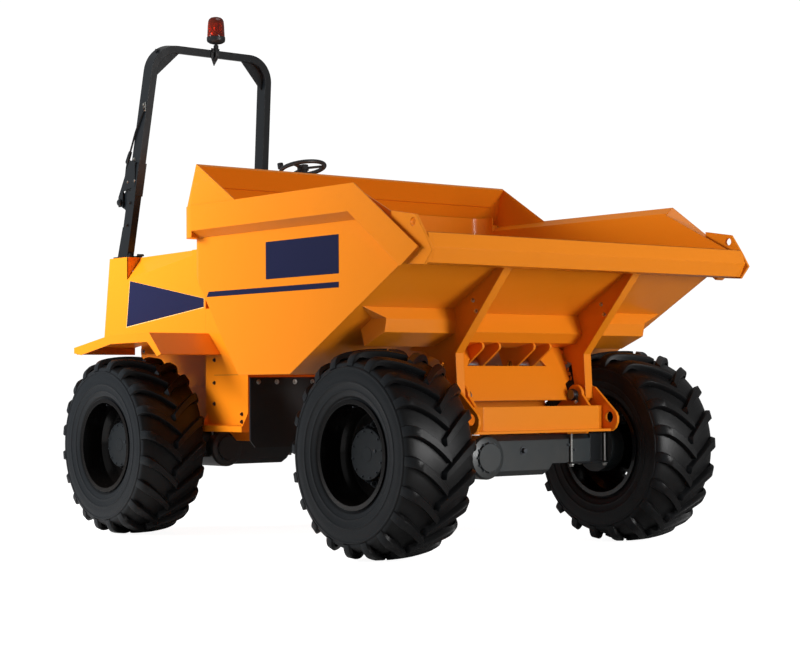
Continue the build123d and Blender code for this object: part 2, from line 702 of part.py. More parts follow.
# ---------------------------------------------------------------- rear frame
def rear_chassis():
    """Two rails, cross members, and the bearing housing of the oscillating shaft."""
    t = heavy_plate
    rail = plate_xz([
        (-2180, 690), (-2180, 960), (-1500, 960), (-420, 960), (-300, 900), (-300, 640), (-420, 600),
        (-900, 600), (-1000, tyre_radius + axle_casing_top), (-1900, tyre_radius + axle_casing_top),
        (-1960, 690),
    ], 390, 390 + t)
    shape = both_sides(rail)
    for x in (-330, -464, -1100, -1620, -2180):
        shape += block(x, x + t, -390, 390, 690, 930)
    shape -= bar((-600, 0, link_z), (-200, 0, link_z), osc_shaft_radius + 20)
    sleeve = bar((bearing_rear, 0, link_z), (-200, 0, link_z), osc_shaft_radius + 38)
    sleeve -= bar((-1000, 0, link_z), (0, 0, link_z), osc_shaft_radius + running)
    return shape + sleeve


def counterweight():
    """Cast rear weight with its rounded corners and the towing jaw."""
    half = 560.0
    shape = block(-2250, -2180, -half, half, 640, 1010)
    shape = fillet(shape.edges().filter_by(Axis.Z).group_by(Axis.X)[0], 45)
    jaw = block(-2300, -2250, -70, 70, 700, 722) + block(-2300, -2250, -70, 70, 790, 812)
    jaw -= Pos(-2275, 0, 750) * Cylinder(16, 300)
    return shape + jaw


def rear_x(z):
    """The body's leaning rear face at height z."""
    return body_rear - body_rear_lean * (body_top - z)


def body_form(inset):
    """The body as a leaning prism with rounded rear corners, inset by a sheet's thickness."""
    low = body_bottom - 100
    x = rear_x(low) + inset
    half = body_half_width - inset
    radius = body_corner_radius - inset
    outline = Pos(0, 0, low) * make_face(Polyline(
        (x, -half), (-600, -half), (-600, half), (x, half), close=True))
    corner = Pos(x, -half, low) * Rectangle(2 * radius, 2 * radius)
    corner -= Pos(x + radius, -half + radius, low) * Circle(radius)
    outline -= corner + mirror(corner, about=Plane.XZ)
    high = body_top + 100 - low
    return extrude(outline, amount=high * math.hypot(body_rear_lean, 1), dir=(body_rear_lean, 0, 1))


def side_recess(inset):
    """The wedge pressed into the side's upper rear, sloping inward towards the top."""
    foot = Vector(recess_rear, -body_half_width + inset, recess_foot_z)
    top = Vector(recess_rear, -body_half_width + inset + recess_depth, body_top)
    front = Vector(recess_front, -body_half_width + inset + recess_front_depth, body_top)
    normal = (top - front).cross(foot - front).normalized()
    if normal.Y > 0:
        normal = normal * -1
    plane = Plane(origin=foot, x_dir=(top - foot).normalized(), z_dir=normal)
    room = extrude(plane * Rectangle(4000, 4000), amount=600)
    return room & block(recess_rear + inset, recess_front, -body_half_width - 10, 0, 1500, 2500)


def body_side():
    """Right side panel of the engine housing with its recess and rounded rear corner."""
    low = body_bottom
    room = block(-3000, -900, -body_half_width, -bonnet_half_width - gap, low, body_top)
    outer = (body_form(0) - side_recess(0)) & room
    sheet = outer - (body_form(plate) - side_recess(plate))
    shelf = block(-2100, -900, -body_half_width + plate, -402, low, low + 8)
    shelf += block(-2100, -900, -410, -402, 960, low)
    sheet += shelf
    front = plate_xz([
        (body_front_top_x, 2100), (body_front_top_x, body_top), (-830, 1480), (-700, 1465), (-700, 2100),
    ], -700, -400)
    return sheet - front


def deck():
    """Operator's floor, footwell sides, steps and the front wall of the engine housing."""
    side = plate_xz([
        (-900, 1465), (-830, 1465), (-620, 1250), (footwell_front, 1045), (footwell_front, footwell_bottom),
        (-900, footwell_bottom),
    ], -body_half_width, -body_half_width + plate)
    tread = footwell_bottom + 22
    outer = -body_half_width - step_reach
    step = block(footwell_rear, footwell_front, outer, -body_half_width, footwell_bottom, tread)
    step += block(footwell_rear, footwell_front, outer, outer + 5, tread, tread + 16)
    end = plate_yz([(outer, tread), (-body_half_width, tread),
                    (-body_half_width, footwell_bottom + step_height)], 0, 6)
    step += Pos(footwell_rear, 0, 0) * end + Pos(footwell_front - 6, 0, 0) * end
    shape = both_sides(side + step)
    floor = block(-1000, -640, -body_half_width + plate, body_half_width - plate, floor_z - 10, floor_z)
    wall = block(-1008, -1000, -body_half_width + plate, body_half_width - plate, floor_z - 10, body_top - 8)
    brace = block(-900, -892, -body_half_width + plate, body_half_width - plate, 960, floor_z - 10)
    foot = block(-760, -740, -body_half_width + plate, body_half_width - plate, 960, 1000)
    return shape + floor + wall + brace + foot


def hinge_knuckles(first, last):
    """Hinge barrel and leaf along the bonnet's front edge, between two distances from the middle."""
    z = body_top + hinge_radius
    barrel = bar_y(bonnet_hinge_x, z, hinge_radius, first, last)
    return barrel + block(bonnet_hinge_x, bonnet_hinge_x + hinge_leaf, first, last, body_top, body_top + 4)


def bonnet():
    """Engine cover behind the seat: top and louvred rear face, hinged at its front edge."""
    half = bonnet_half_width
    t = plate
    rear = body_rear
    low = rear_x(bonnet_bottom)
    shape = plate_xz([
        (low, bonnet_bottom), (low + t, bonnet_bottom), (rear + t, body_top - t),
        (bonnet_front, body_top - t), (bonnet_front, body_top), (rear + 14, body_top), (rear, body_top - 14),
    ], -half, half)
    seat_z = bonnet_seat_z + 0.3
    shape += both_sides(plate_xz([
        (low + t, bonnet_bottom), (low + 40, bonnet_bottom), (rear + 40, seat_z),
        (bonnet_front, seat_z), (bonnet_front, body_top - t), (rear + t, body_top - t),
    ], -half, -half + 5))
    pitch = (body_top - 120 - bonnet_bottom) / louvre_count
    high = pitch * 0.45
    for row in range(louvre_count):
        z = bonnet_bottom + 60 + row * pitch
        for side in (-1, 1):
            y = side * half * 0.48
            x = rear_x(z)
            shape -= block(x - 5, x + t + 10, y - 160, y + 160, z, z + high)
            blade = [(x - 10, z + 2), (x - 6, z - 2), (x + t + 4, z + high), (x + t - 2, z + high)]
            shape += plate_xz(blade, y - 160, y + 160)
    for y in (-hinge_y, hinge_y):
        leaf = block(bonnet_hinge_x - hinge_leaf, bonnet_hinge_x, y - 17, y + 17, body_top, body_top + 4)
        shape += leaf + bar_y(bonnet_hinge_x, body_top + hinge_radius, hinge_radius, y - 17, y + 17)
    return shape


def top_deck():
    """Fixed top plate round the bonnet and under the seat, with the rear wall below it."""
    inner = body_half_width - plate
    sheet = block(body_rear + plate, -1000, -inner, inner, body_top - 8, body_top)
    sheet -= corner_slivers(body_rear + plate, inner, body_corner_radius - plate, 900, 2100)
    sheet -= both_sides(side_recess(plate))
    edge = bonnet_half_width + gap
    sheet -= block(body_rear - 10, bonnet_front + gap, -edge, edge, 1000, 3000)
    front = bonnet_front + gap
    gutter = block(body_rear + 60, front + 8, -edge - 8, edge + 8, bonnet_seat_z - 6, body_top - plate)
    gutter -= block(body_rear, front, -edge, edge, bonnet_seat_z, body_top)
    gutter -= block(body_rear, bonnet_front - 14, -edge + 20, edge - 20, 1000, body_top)
    sheet += gutter
    for y in (-hinge_y, hinge_y):
        sheet += hinge_knuckles(y - 52, y - 17.3)
        sheet += hinge_knuckles(y + 17.3, y + 52)
    return sheet


def seat():
    """Operator's seat: pan, cushion and backrest as one padded form."""
    cushion = fillet(block(-1560, -1090, -235, 235, 1905, 1985).edges(), 26)
    back = plate_xz([(-1560, 1960), (-1490, 1975), (-1560, 2400), (-1620, 2400)], -225, 225)
    base = block(-1540, -1130, -190, 190, body_top, 1905)
    return cushion + back + base


def console():
    """Dash pedestal with its sloped top and the steering column."""
    half = 210.0
    body = plate_xz([(-760, floor_z), (-590, floor_z), (-590, 1990), (-635, 2080), (-760, 2010)], -half, half)
    way = Vector(math.sin(math.radians(column_tilt)), 0, -math.cos(math.radians(column_tilt)))
    centre = Vector(steering_wheel_x, 0, steering_wheel_z)
    return body + bar(tuple(centre + way * 17), tuple(centre + way * 410), 28)


def steering_wheel():
    """Rim, three spokes and hub, tilted a little towards the seat."""
    r = steering_wheel_radius
    ring = Torus(r - 14, 14)
    shape = ring
    for turn in (60, 180, 300):
        shape += Rot(0, 0, turn) * Pos((r - 14) / 2, 0, 0) * Box(r - 14, 26, 10)
    shape += Cylinder(38, 34)
    knob = Cylinder(7, 44, align=(Align.CENTER, Align.CENTER, Align.MIN))
    knob += Pos(0, 0, 22) * Cylinder(20, 36, align=(Align.CENTER, Align.CENTER, Align.MIN))
    shape += Rot(0, 0, 230) * Pos(r - 14, 0, 0) * knob
    return Pos(steering_wheel_x, 0, steering_wheel_z) * Rot(0, -column_tilt, 0) * shape


def fender():
    """Right rear mudguard: three flats over the wheel with a turned down outer edge."""
    top = [(-1830, 1225), (-1345, 1300), (-867, fender_top_z), (-724, 1165)]
    t = 5.0
    under = [(x - 3, z - t) for x, z in reversed(top)]
    sheet = plate_xz(top + under, -fender_outer_y, -body_half_width)
    edge = plate_xz(top + [(-770, 1150), (-890, 1244), (-1345, 1302 - fender_flange),
                           (-1737, 1236 - fender_flange), (-1830, 1225 - fender_flange + 24)],
                    -fender_outer_y, -fender_outer_y + t)
    edge += block(fender_close_x, fender_close_x + t, -fender_outer_y, -body_half_width,
                  fender_close_z, 1228)
    inner = plate_xz([(-1700, 1220), (-1345, 1298), (-867, fender_top_z - 2), (-867, 1180), (-1700, 1180)],
                     -body_half_width - t, -body_half_width)
    return sheet + edge + inner


def engine_block():
    """Engine as one plain mass on the rails."""
    return block(-1950, -1180, -260, 260, 930, 1560)


def rops_axis(z, side):
    """Centre of a post at height z, on the leaning line of the hoop."""
    rise = z - 1870
    half = rops_foot_half_width - rops_width / 2 - rops_inward * rise
    return (rops_foot_x + rops_lean * rise, side * half, z)


def slanted_post(z0, z1, side, depth, width):
    """A rectangular tube between two heights along the leaning line of a post."""
    low = Vector(*rops_axis(z0, side))
    high = Vector(*rops_axis(z1, side))
    plane = Plane(origin=low, x_dir=(1, 0, -rops_lean), z_dir=(high - low).normalized())
    return extrude(plane * Rectangle(depth, width), amount=(high - low).length)


def rops_post():
    """Right lower post with its foot gussets and the fixed half of the fold joint."""
    post = slanted_post(body_top - 40, fold_z, -1, rops_depth, rops_width)
    post -= block(-3000, 0, -1000, 0, 1000, body_top)
    x0, y0, z0 = rops_axis(body_top, -1)
    foot = block(x0 - 110, x0 + 110, y0 - 40, y0 + 60, body_top, body_top + 14)
    gusset = plate_xz([
        (x0 - 105, body_top + 14), (x0 - 30, body_top + 14), (x0 - 2, body_top + 225),
        (x0 - 34, body_top + 225),
    ], y0 - 8, y0 + 8)
    x1, y1, z1 = rops_axis(fold_pin_z, -1)
    cheek = plate_xz([
        (x1 + 20, fold_z), (x1 + 10, fold_pin_z - 70), (x1 - 60, fold_pin_z - 70),
        (fold_pin_x - 34, fold_pin_z - 20), (fold_pin_x - 34, fold_pin_z + 30), (fold_pin_x + 20, fold_z),
    ], y1 - 12, y1 + 12)
    cheek -= bar_y(fold_pin_x, fold_pin_z, 14, -1000, 1000)
    return post + foot + (gusset - post) + (cheek - block(x1 - 400, x1 + 400, -1000, 0, fold_z - 1, 3000))


def rops_hoop():
    """Folding hoop: two leaning legs, rounded corners and top bar, with corner gussets."""
    z0 = fold_z + gap
    bend = rops_bend_radius
    top_z = rops_top_z - rops_width / 2
    legs = []
    for side in (-1, 1):
        legs.append(rops_axis(z0, side))
    slope = rops_inward
    height = (top_z - z0) * math.sqrt(1 + rops_lean ** 2)
    top_half = legs[1][1] - slope * (top_z - z0)
    path = FilletPolyline((legs[0][1], 0), (-top_half, height), (top_half, height), (legs[1][1], 0),
                          radius=bend)
    plane = Plane(origin=(legs[0][0], 0, z0), x_dir=(0, 1, 0),
                  z_dir=Vector(1, 0, -rops_lean).normalized())
    wire = plane * path
    start = wire @ 0
    section = Plane(origin=start, x_dir=Vector(1, 0, -rops_lean).normalized(), z_dir=wire % 0)
    hoop = sweep(section * Rectangle(rops_depth, rops_width), path=wire)
    reach = bend + 26
    web = make_face(Polyline((-top_half + 15, height - 12 - reach), (-top_half + 15, height - 12),
                             (-top_half + 15 + reach, height - 12), close=True))
    web += mirror(web, about=Plane.YZ)
    corner = extrude(plane * web, amount=8, both=True)
    shape = hoop + corner
    for side in (-1, 1):
        x1, y1, z1 = rops_axis(fold_pin_z, side)
        y1 = side * abs(y1)
        for offset_y in (abs(y1) + 15, abs(y1) - 27):
            lo = min(side * offset_y, side * (offset_y + 12))
            cheek = plate_xz([
                (fold_pin_x - 30, fold_pin_z - 30), (fold_pin_x - 30, fold_pin_z + 40),
                (x1 - 10, fold_z + 220), (x1 + 60, fold_z + 200), (x1 + 60, fold_z + 30),
                (fold_pin_x + 30, fold_z + 10), (fold_pin_x + 30, fold_pin_z - 30),
            ], lo, lo + 12)
            shape += cheek
        shape += bar_y(fold_pin_x, fold_pin_z, 13.9, side * abs(y1) - 27, side * abs(y1) + 27)
    return shape


def beacon():
    """Rotating beacon: plate on the top bar's front face, stem, black base and domed lens."""
    x, _, z = rops_axis(rops_top_z - rops_width / 2, 1)
    normal = Vector(1, 0, -rops_lean).normalized()
    face = Plane(origin=Vector(x, 0, z) + normal * (rops_depth / 2), x_dir=(0, 1, 0), z_dir=normal)
    bracket = extrude(face * RectangleRounded(78, 120, 20), amount=8)
    foot = Vector(x, 0, z) + normal * (rops_depth / 2 + 18)
    stem = bar((foot.X, 0, foot.Z - 20), (foot.X, 0, rops_top_z + 40), 12)
    lens = turned([(0, 0), (44, 0), (76, 18), (72, 52), (64, 175), (52, 190), (0, 194)])
    return bracket + stem + Pos(foot.X, 0, rops_top_z + 36) * lens


def add_rear():
    """Everything that rides on the rear frame."""
    nodes["rear_chassis"] = rear_chassis()
    nodes["counterweight"] = counterweight()
    nodes["body_side_right"] = body_side()
    nodes["body_side_left"] = left_of(nodes["body_side_right"])
    nodes["deck"] = deck() + top_deck()
    nodes["bonnet"] = bonnet()
    nodes["seat"] = seat()
    nodes["console"] = console()
    nodes["steering_wheel"] = steering_wheel()
    nodes["fender_right"] = fender()
    nodes["fender_left"] = left_of(nodes["fender_right"])
    nodes["engine_block"] = engine_block()
    nodes["rops_post_right"] = rops_post()
    nodes["rops_post_left"] = left_of(nodes["rops_post_right"])
    nodes["rops_hoop"] = rops_hoop()
    nodes["beacon"] = beacon()


# ---------------------------------------------------------------- main
def write_nodes():
    """Moves every node to the part's own origin and writes it."""
    os.makedirs("parts", exist_ok=True)
    for name, shape in nodes.items():
        export_step(Pos(frame_shift, 0, 0) * shape, "parts/" + name + ".step")


add_wheels()
nodes["front_axle"] = axle(front_axle_x)
nodes["rear_axle"] = axle(rear_axle_x)
add_skip()
nodes["front_chassis"] = front_chassis()
flap, bracket = mudflap()
nodes["mudflap_right"] = flap + bracket
nodes["mudflap_left"] = left_of(nodes["mudflap_right"])
nodes["pivot_pins"] = pivot_pins()
nodes["centre_link"] = centre_link()
add_rams()
add_rear()
write_nodes()
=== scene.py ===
"""Looks of an articulated site dumper: paint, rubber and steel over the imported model.

Pieces are surfaces worked out as whole numpy arrays, in metres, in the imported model's frame:
+X forward over the skip's lip, +Y to the driver's left, +Z up from the ground.
"""
import json
import math

import bpy
import numpy as np
from mathutils import Matrix, Vector


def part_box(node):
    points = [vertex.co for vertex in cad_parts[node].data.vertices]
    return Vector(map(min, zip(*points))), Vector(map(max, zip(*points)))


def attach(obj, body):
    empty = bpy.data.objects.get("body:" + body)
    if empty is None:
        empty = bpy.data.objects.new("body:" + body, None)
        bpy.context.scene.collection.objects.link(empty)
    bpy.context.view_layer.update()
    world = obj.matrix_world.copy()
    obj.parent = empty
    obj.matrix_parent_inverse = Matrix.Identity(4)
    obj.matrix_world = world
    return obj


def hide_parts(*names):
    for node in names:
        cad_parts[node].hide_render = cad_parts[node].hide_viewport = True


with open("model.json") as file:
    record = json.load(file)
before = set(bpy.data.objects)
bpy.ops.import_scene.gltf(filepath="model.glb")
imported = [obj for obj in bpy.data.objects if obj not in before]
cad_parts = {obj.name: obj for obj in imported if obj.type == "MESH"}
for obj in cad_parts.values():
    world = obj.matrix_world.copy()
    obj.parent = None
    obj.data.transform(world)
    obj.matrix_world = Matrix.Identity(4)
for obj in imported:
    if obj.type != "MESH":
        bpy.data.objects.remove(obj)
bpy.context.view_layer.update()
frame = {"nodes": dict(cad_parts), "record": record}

nodes = frame["nodes"]


# ---------------------------------------------------------------- mesh tools
def finish_mesh(name, verts, faces, smooth_angle=None):
    """Make a mesh object from whole arrays of corner points and faces."""
    mesh = bpy.data.meshes.new(name)
    mesh.from_pydata([tuple(v) for v in verts], [], [tuple(f) for f in faces])
    mesh.validate()
    obj = bpy.data.objects.new(name, mesh)
    bpy.context.scene.collection.objects.link(obj)
    if smooth_angle is not None:
        mesh.shade_smooth()
        mesh.set_sharp_from_angle(angle=math.radians(smooth_angle))
    return obj


def grid_faces(rows, cols, close_rows=False, close_cols=False):
    """Four-cornered faces of a grid whose point (i, j) is number i * cols + j."""
    i = np.arange(rows if close_rows else rows - 1)[:, None]
    j = np.arange(cols if close_cols else cols - 1)[None, :]
    i2 = (i + 1) % rows
    j2 = (j + 1) % cols
    quad = np.stack(np.broadcast_arrays(i * cols + j, i * cols + j2, i2 * cols + j2, i2 * cols + j), -1)
    return quad.reshape(-1, 4)


class Pieces:
    """Corner points and faces of many small shells, joined into one mesh."""

    def __init__(self, origin=(0.0, 0.0, 0.0)):
        self.origin = np.asarray(origin, float)
        self.verts = []
        self.faces = []
        self.count = 0

    def add(self, points, faces):
        points = np.asarray(points, float).reshape(-1, 3) + self.origin
        self.verts.append(points)
        self.faces.extend([tuple(int(k) + self.count for k in f) for f in faces])
        self.count += len(points)

    def add_grid(self, points, close_rows=False, close_cols=False, cap_rows=False, flip=False):
        """A grid of points (rows, cols, 3), with its two end rows filled if asked."""
        rows, cols = points.shape[:2]
        faces = [tuple(f) for f in grid_faces(rows, cols, close_rows, close_cols)]
        if cap_rows:
            faces.append(tuple(range(cols - 1, -1, -1)))
            faces.append(tuple(range((rows - 1) * cols, rows * cols)))
        if flip:
            faces = [tuple(reversed(f)) for f in faces]
        self.add(points, faces)

    def add_turned(self, place, out, profile, sides=20, phase=0.0):
        """A closed shape turned about the line through place along out: rows of radius, distance."""
        out, side, up = square_axes(out)
        profile = np.asarray(profile, float)
        angle = circle(sides, phase)
        ring = np.cos(angle)[:, None] * side + np.sin(angle)[:, None] * up
        points = np.asarray(place) + profile[:, 1, None, None] * out + profile[:, 0, None, None] * ring
        self.add_grid(points, close_cols=True, cap_rows=True)

    def add_rod(self, start, end, radius, sides=14):
        """A plain round bar between two points."""
        way = np.asarray(end, float) - np.asarray(start, float)
        self.add_turned(start, way, [(radius, 0), (radius, np.linalg.norm(way))], sides)

    def add_bolt(self, place, out, size, phase=0.0):
        """A washer and a hexagon head whose width across flats is size."""
        washer = [(0.85 * size, 0), (0.85 * size, 0.10 * size), (0.80 * size, 0.14 * size)]
        self.add_turned(place, out, washer, 14)
        self.add_turned(place, out, [(0.577 * size, 0.13 * size), (0.577 * size, 0.62 * size),
                                     (0.49 * size, 0.74 * size)], 6, phase)

    def add_plate(self, outline, out, thickness, bevel=0.0):
        """A flat plate: its outline runs round anticlockwise as seen from the side it faces."""
        outline = np.asarray(outline, float)
        out = np.asarray(out, float) / np.linalg.norm(out)
        rows = [outline, outline + out * (thickness - bevel)]
        if bevel:
            middle = outline.mean(axis=0)
            reach = np.linalg.norm(outline - middle, axis=1, keepdims=True)
            rows.append(outline + (middle - outline) * bevel / reach + out * thickness)
        self.add_grid(np.stack(rows), close_cols=True, cap_rows=True)

    def add_tube(self, path, radius, sides=10):
        """A round tube along a line of points, its radius one number or one for each point."""
        path = np.asarray(path, float)
        radius = np.broadcast_to(np.asarray(radius, float), len(path))
        way = np.gradient(path, axis=0)
        way /= np.linalg.norm(way, axis=1, keepdims=True)
        side = square_axes(way[0])[1]
        rings = []
        for place, ahead, r in zip(path, way, radius):
            side = side - ahead * side.dot(ahead)
            side /= np.linalg.norm(side)
            angle = circle(sides)[:, None]
            rings.append(place + r * (np.cos(angle) * side + np.sin(angle) * np.cross(ahead, side)))
        self.add_grid(np.stack(rings), close_cols=True, cap_rows=True)

    def add_weld(self, start, end, radius=0.004, pitch=0.006):
        """A weld bead: a thin tube whose thickness ripples along its run."""
        start, end = np.asarray(start, float), np.asarray(end, float)
        count = max(4, int(2 * np.linalg.norm(end - start) / pitch))
        step = np.linspace(0, 1, count)[:, None]
        thick = radius * np.where(np.arange(count) % 2, 1.0, 0.72)
        self.add_tube(start + (end - start) * step, thick, 6)

    def make(self, name, smooth_angle=None):
        return finish_mesh(name, np.concatenate(self.verts), self.faces, smooth_angle)


def square_axes(out):
    """A direction and two more square to it, turning anticlockwise about it."""
    out = np.asarray(out, float) / np.linalg.norm(out)
    side = np.cross((0.0, 0.0, 1.0) if abs(out[2]) < 0.9 else (1.0, 0.0, 0.0), out)
    side /= np.linalg.norm(side)
    return out, side, np.cross(out, side)


def box_outline(x, y, half_x, half_y, corner, count=4):
    """Rounded rectangle in a plane, anticlockwise, as rows of two numbers."""
    points = []
    for turn, (sx, sy) in enumerate([(1, 1), (-1, 1), (-1, -1), (1, -1)]):
        angle = turn * math.pi / 2 + np.linspace(0, math.pi / 2, count)
        points.append(np.stack([x + sx * (half_x - corner) + corner * np.cos(angle),
                                y + sy * (half_y - corner) + corner * np.sin(angle)], -1))
    return np.concatenate(points)


def circle(count, phase=0.0):
    """Angles of count points round a circle, in radians."""
    return phase + np.arange(count) * 2 * math.pi / count


# ---------------------------------------------------------------- shader groups
def group_tree(name, inputs, outputs):
    """An empty shader group with named inputs and outputs."""
    tree = bpy.data.node_groups.new(name, "ShaderNodeTree")
    for label, kind, value in inputs:
        socket = tree.interface.new_socket(name=label, in_out="INPUT", socket_type=kind)
        socket.default_value = value
    for label, kind in outputs:
        tree.interface.new_socket(name=label, in_out="OUTPUT", socket_type=kind)
    return tree, tree.nodes.new("NodeGroupInput"), tree.nodes.new("NodeGroupOutput")


def add_node(tree, kind, **values):
    """A node with its own fields and input values set by name or number."""
    node = tree.nodes.new(kind)
    for key, value in values.items():
        if key.startswith("i_"):
            key = key[2:]
            node.inputs[int(key) if key.isdigit() else key].default_value = value
        else:
            setattr(node, key, value)
    return node


FLOAT = "NodeSocketFloat"
COLOUR = "NodeSocketColor"
VECTOR = "NodeSocketVector"


def coat_ripple_group():
    """Ripple of sprayed paint: two sizes of noise on the piece's own coordinates, as a normal."""
    tree, start, end = group_tree("coat_ripple", [("Scale", FLOAT, 120.0), ("Height", FLOAT, 0.0002),
                                                  ("Normal", VECTOR, (0, 0, 0))], [("Normal", VECTOR)])
    place = add_node(tree, "ShaderNodeTexCoord")
    fine = add_node(tree, "ShaderNodeTexNoise", i_Detail=3.0)
    wide = add_node(tree, "ShaderNodeTexNoise", i_Scale=9.0, i_Detail=2.0)
    blend = add_node(tree, "ShaderNodeMath", operation="MULTIPLY_ADD", i_1=6.0)
    bump = add_node(tree, "ShaderNodeBump", i_Strength=1.0)
    link = tree.links.new
    link(place.outputs["Object"], fine.inputs["Vector"])
    link(place.outputs["Object"], wide.inputs["Vector"])
    link(start.outputs["Scale"], fine.inputs["Scale"])
    link(wide.outputs["Fac"], blend.inputs[0])
    link(fine.outputs["Fac"], blend.inputs[2])
    link(blend.outputs[0], bump.inputs["Height"])
    link(start.outputs["Height"], bump.inputs["Distance"])
    link(start.outputs["Normal"], bump.inputs["Normal"])
    link(bump.outputs["Normal"], end.inputs["Normal"])
    return tree


def road_dust_group():
    """Dust that thins out with height above the ground and lies in soft patches."""
    tree, start, end = group_tree("road_dust", [("Colour", COLOUR, (1, 1, 1, 1)),
                                                ("Dust", COLOUR, (1, 1, 1, 1)),
                                                ("Amount", FLOAT, 0.3), ("Reach", FLOAT, 1.2),
                                                ("Scale", FLOAT, 3.0)],
                                  [("Colour", COLOUR), ("Mask", FLOAT)])
    place = add_node(tree, "ShaderNodeTexCoord")
    split = add_node(tree, "ShaderNodeSeparateXYZ")
    height = add_node(tree, "ShaderNodeMath", operation="DIVIDE", use_clamp=True)
    low = add_node(tree, "ShaderNodeMath", operation="SUBTRACT", i_0=1.0)
    patches = add_node(tree, "ShaderNodeTexNoise", i_Detail=8.0, i_Roughness=0.65)
    ramp = add_node(tree, "ShaderNodeMapRange", i_1=0.35, i_2=0.75)
    mask = add_node(tree, "ShaderNodeMath", operation="MULTIPLY")
    amount = add_node(tree, "ShaderNodeMath", operation="MULTIPLY", use_clamp=True)
    mix = add_node(tree, "ShaderNodeMix", data_type="RGBA")
    link = tree.links.new
    link(place.outputs["Object"], split.inputs[0])
    link(split.outputs["Z"], height.inputs[0])
    link(start.outputs["Reach"], height.inputs[1])
    link(height.outputs[0], low.inputs[1])
    link(place.outputs["Object"], patches.inputs["Vector"])
    link(start.outputs["Scale"], patches.inputs["Scale"])
    link(patches.outputs["Fac"], ramp.inputs[0])
    link(ramp.outputs[0], mask.inputs[0])
    link(low.outputs[0], mask.inputs[1])
    link(mask.outputs[0], amount.inputs[0])
    link(start.outputs["Amount"], amount.inputs[1])
    link(amount.outputs[0], mix.inputs[0])
    link(start.outputs["Colour"], mix.inputs[6])
    link(start.outputs["Dust"], mix.inputs[7])
    link(mix.outputs[2], end.inputs["Colour"])
    link(amount.outputs[0], end.inputs["Mask"])
    return tree


def grain_group():
    """Fine grain of moulded rubber or vinyl as a normal, from small cells and noise."""
    tree, start, end = group_tree("grain", [("Scale", FLOAT, 400.0), ("Height", FLOAT, 0.0003)],
                                  [("Normal", VECTOR), ("Value", FLOAT)])
    place = add_node(tree, "ShaderNodeTexCoord")
    cells = add_node(tree, "ShaderNodeTexVoronoi", feature="DISTANCE_TO_EDGE")
    noise = add_node(tree, "ShaderNodeTexNoise", i_Detail=4.0)
    both = add_node(tree, "ShaderNodeMath", operation="ADD")
    bump = add_node(tree, "ShaderNodeBump", i_Strength=1.0)
    link = tree.links.new
    for texture in (cells, noise):
        link(place.outputs["Object"], texture.inputs["Vector"])
        link(start.outputs["Scale"], texture.inputs["Scale"])
    link(cells.outputs["Distance"], both.inputs[0])
    link(noise.outputs["Fac"], both.inputs[1])
    link(both.outputs[0], bump.inputs["Height"])
    link(start.outputs["Height"], bump.inputs["Distance"])
    link(bump.outputs["Normal"], end.inputs["Normal"])
    link(noise.outputs["Fac"], end.inputs["Value"])
    return tree


coat_ripple = coat_ripple_group()
road_dust = road_dust_group()
grain = grain_group()


# ---------------------------------------------------------------- materials
def linear(red, green, blue):
    """Screen colour out of 255 as a linear shader colour."""
    parts = [c / 255 for c in (red, green, blue)]
    return tuple([c / 12.92 if c <= 0.04045 else ((c + 0.055) / 1.055) ** 2.4 for c in parts] + [1.0])


def material(name):
    """A new material and its tree and main shader."""
    made = bpy.data.materials.new(name)
    made.use_nodes = True
    return made, made.node_tree, made.node_tree.nodes["Principled BSDF"]


def use_group(tree, group, **values):
    """A group placed in a material with its own values."""
    node = tree.nodes.new("ShaderNodeGroup")
    node.node_tree = group
    for key, value in values.items():
        node.inputs[key].default_value = value
    return node


def sprayed_paint(name, colour, dust, amount, rough, coat, ripple=0.0002, reach=1.2, shine=0.5):
    """Sprayed paint on steel plate: rippled coat, soft rounded edges, dust low down."""
    made, tree, shader = material(name)
    grime = use_group(tree, road_dust, Colour=colour, Dust=dust, Amount=amount, Reach=reach)
    ripples = use_group(tree, coat_ripple, Scale=90.0, Height=ripple)
    edge = add_node(tree, "ShaderNodeBevel", samples=4, i_Radius=0.005)
    roughness = add_node(tree, "ShaderNodeMath", operation="MULTIPLY_ADD", i_1=0.45, i_2=rough)
    link = tree.links.new
    link(edge.outputs[0], ripples.inputs["Normal"])
    link(ripples.outputs["Normal"], shader.inputs["Normal"])
    link(grime.outputs["Colour"], shader.inputs["Base Color"])
    link(grime.outputs["Mask"], roughness.inputs[0])
    link(roughness.outputs[0], shader.inputs["Roughness"])
    shader.inputs["Specular IOR Level"].default_value = shine
    shader.inputs["Coat Weight"].default_value = coat
    shader.inputs["Coat Roughness"].default_value = 0.08
    return made


def rubber(name, colour, dust, amount, rough, scale, height, reach=1.3):
    """Moulded rubber or vinyl with fine grain."""
    made, tree, shader = material(name)
    grime = use_group(tree, road_dust, Colour=colour, Dust=dust, Amount=amount, Reach=reach, Scale=6.0)
    surface = use_group(tree, grain, Scale=scale, Height=height)
    link = tree.links.new
    link(grime.outputs["Colour"], shader.inputs["Base Color"])
    link(surface.outputs["Normal"], shader.inputs["Normal"])
    shader.inputs["Roughness"].default_value = rough
    return made


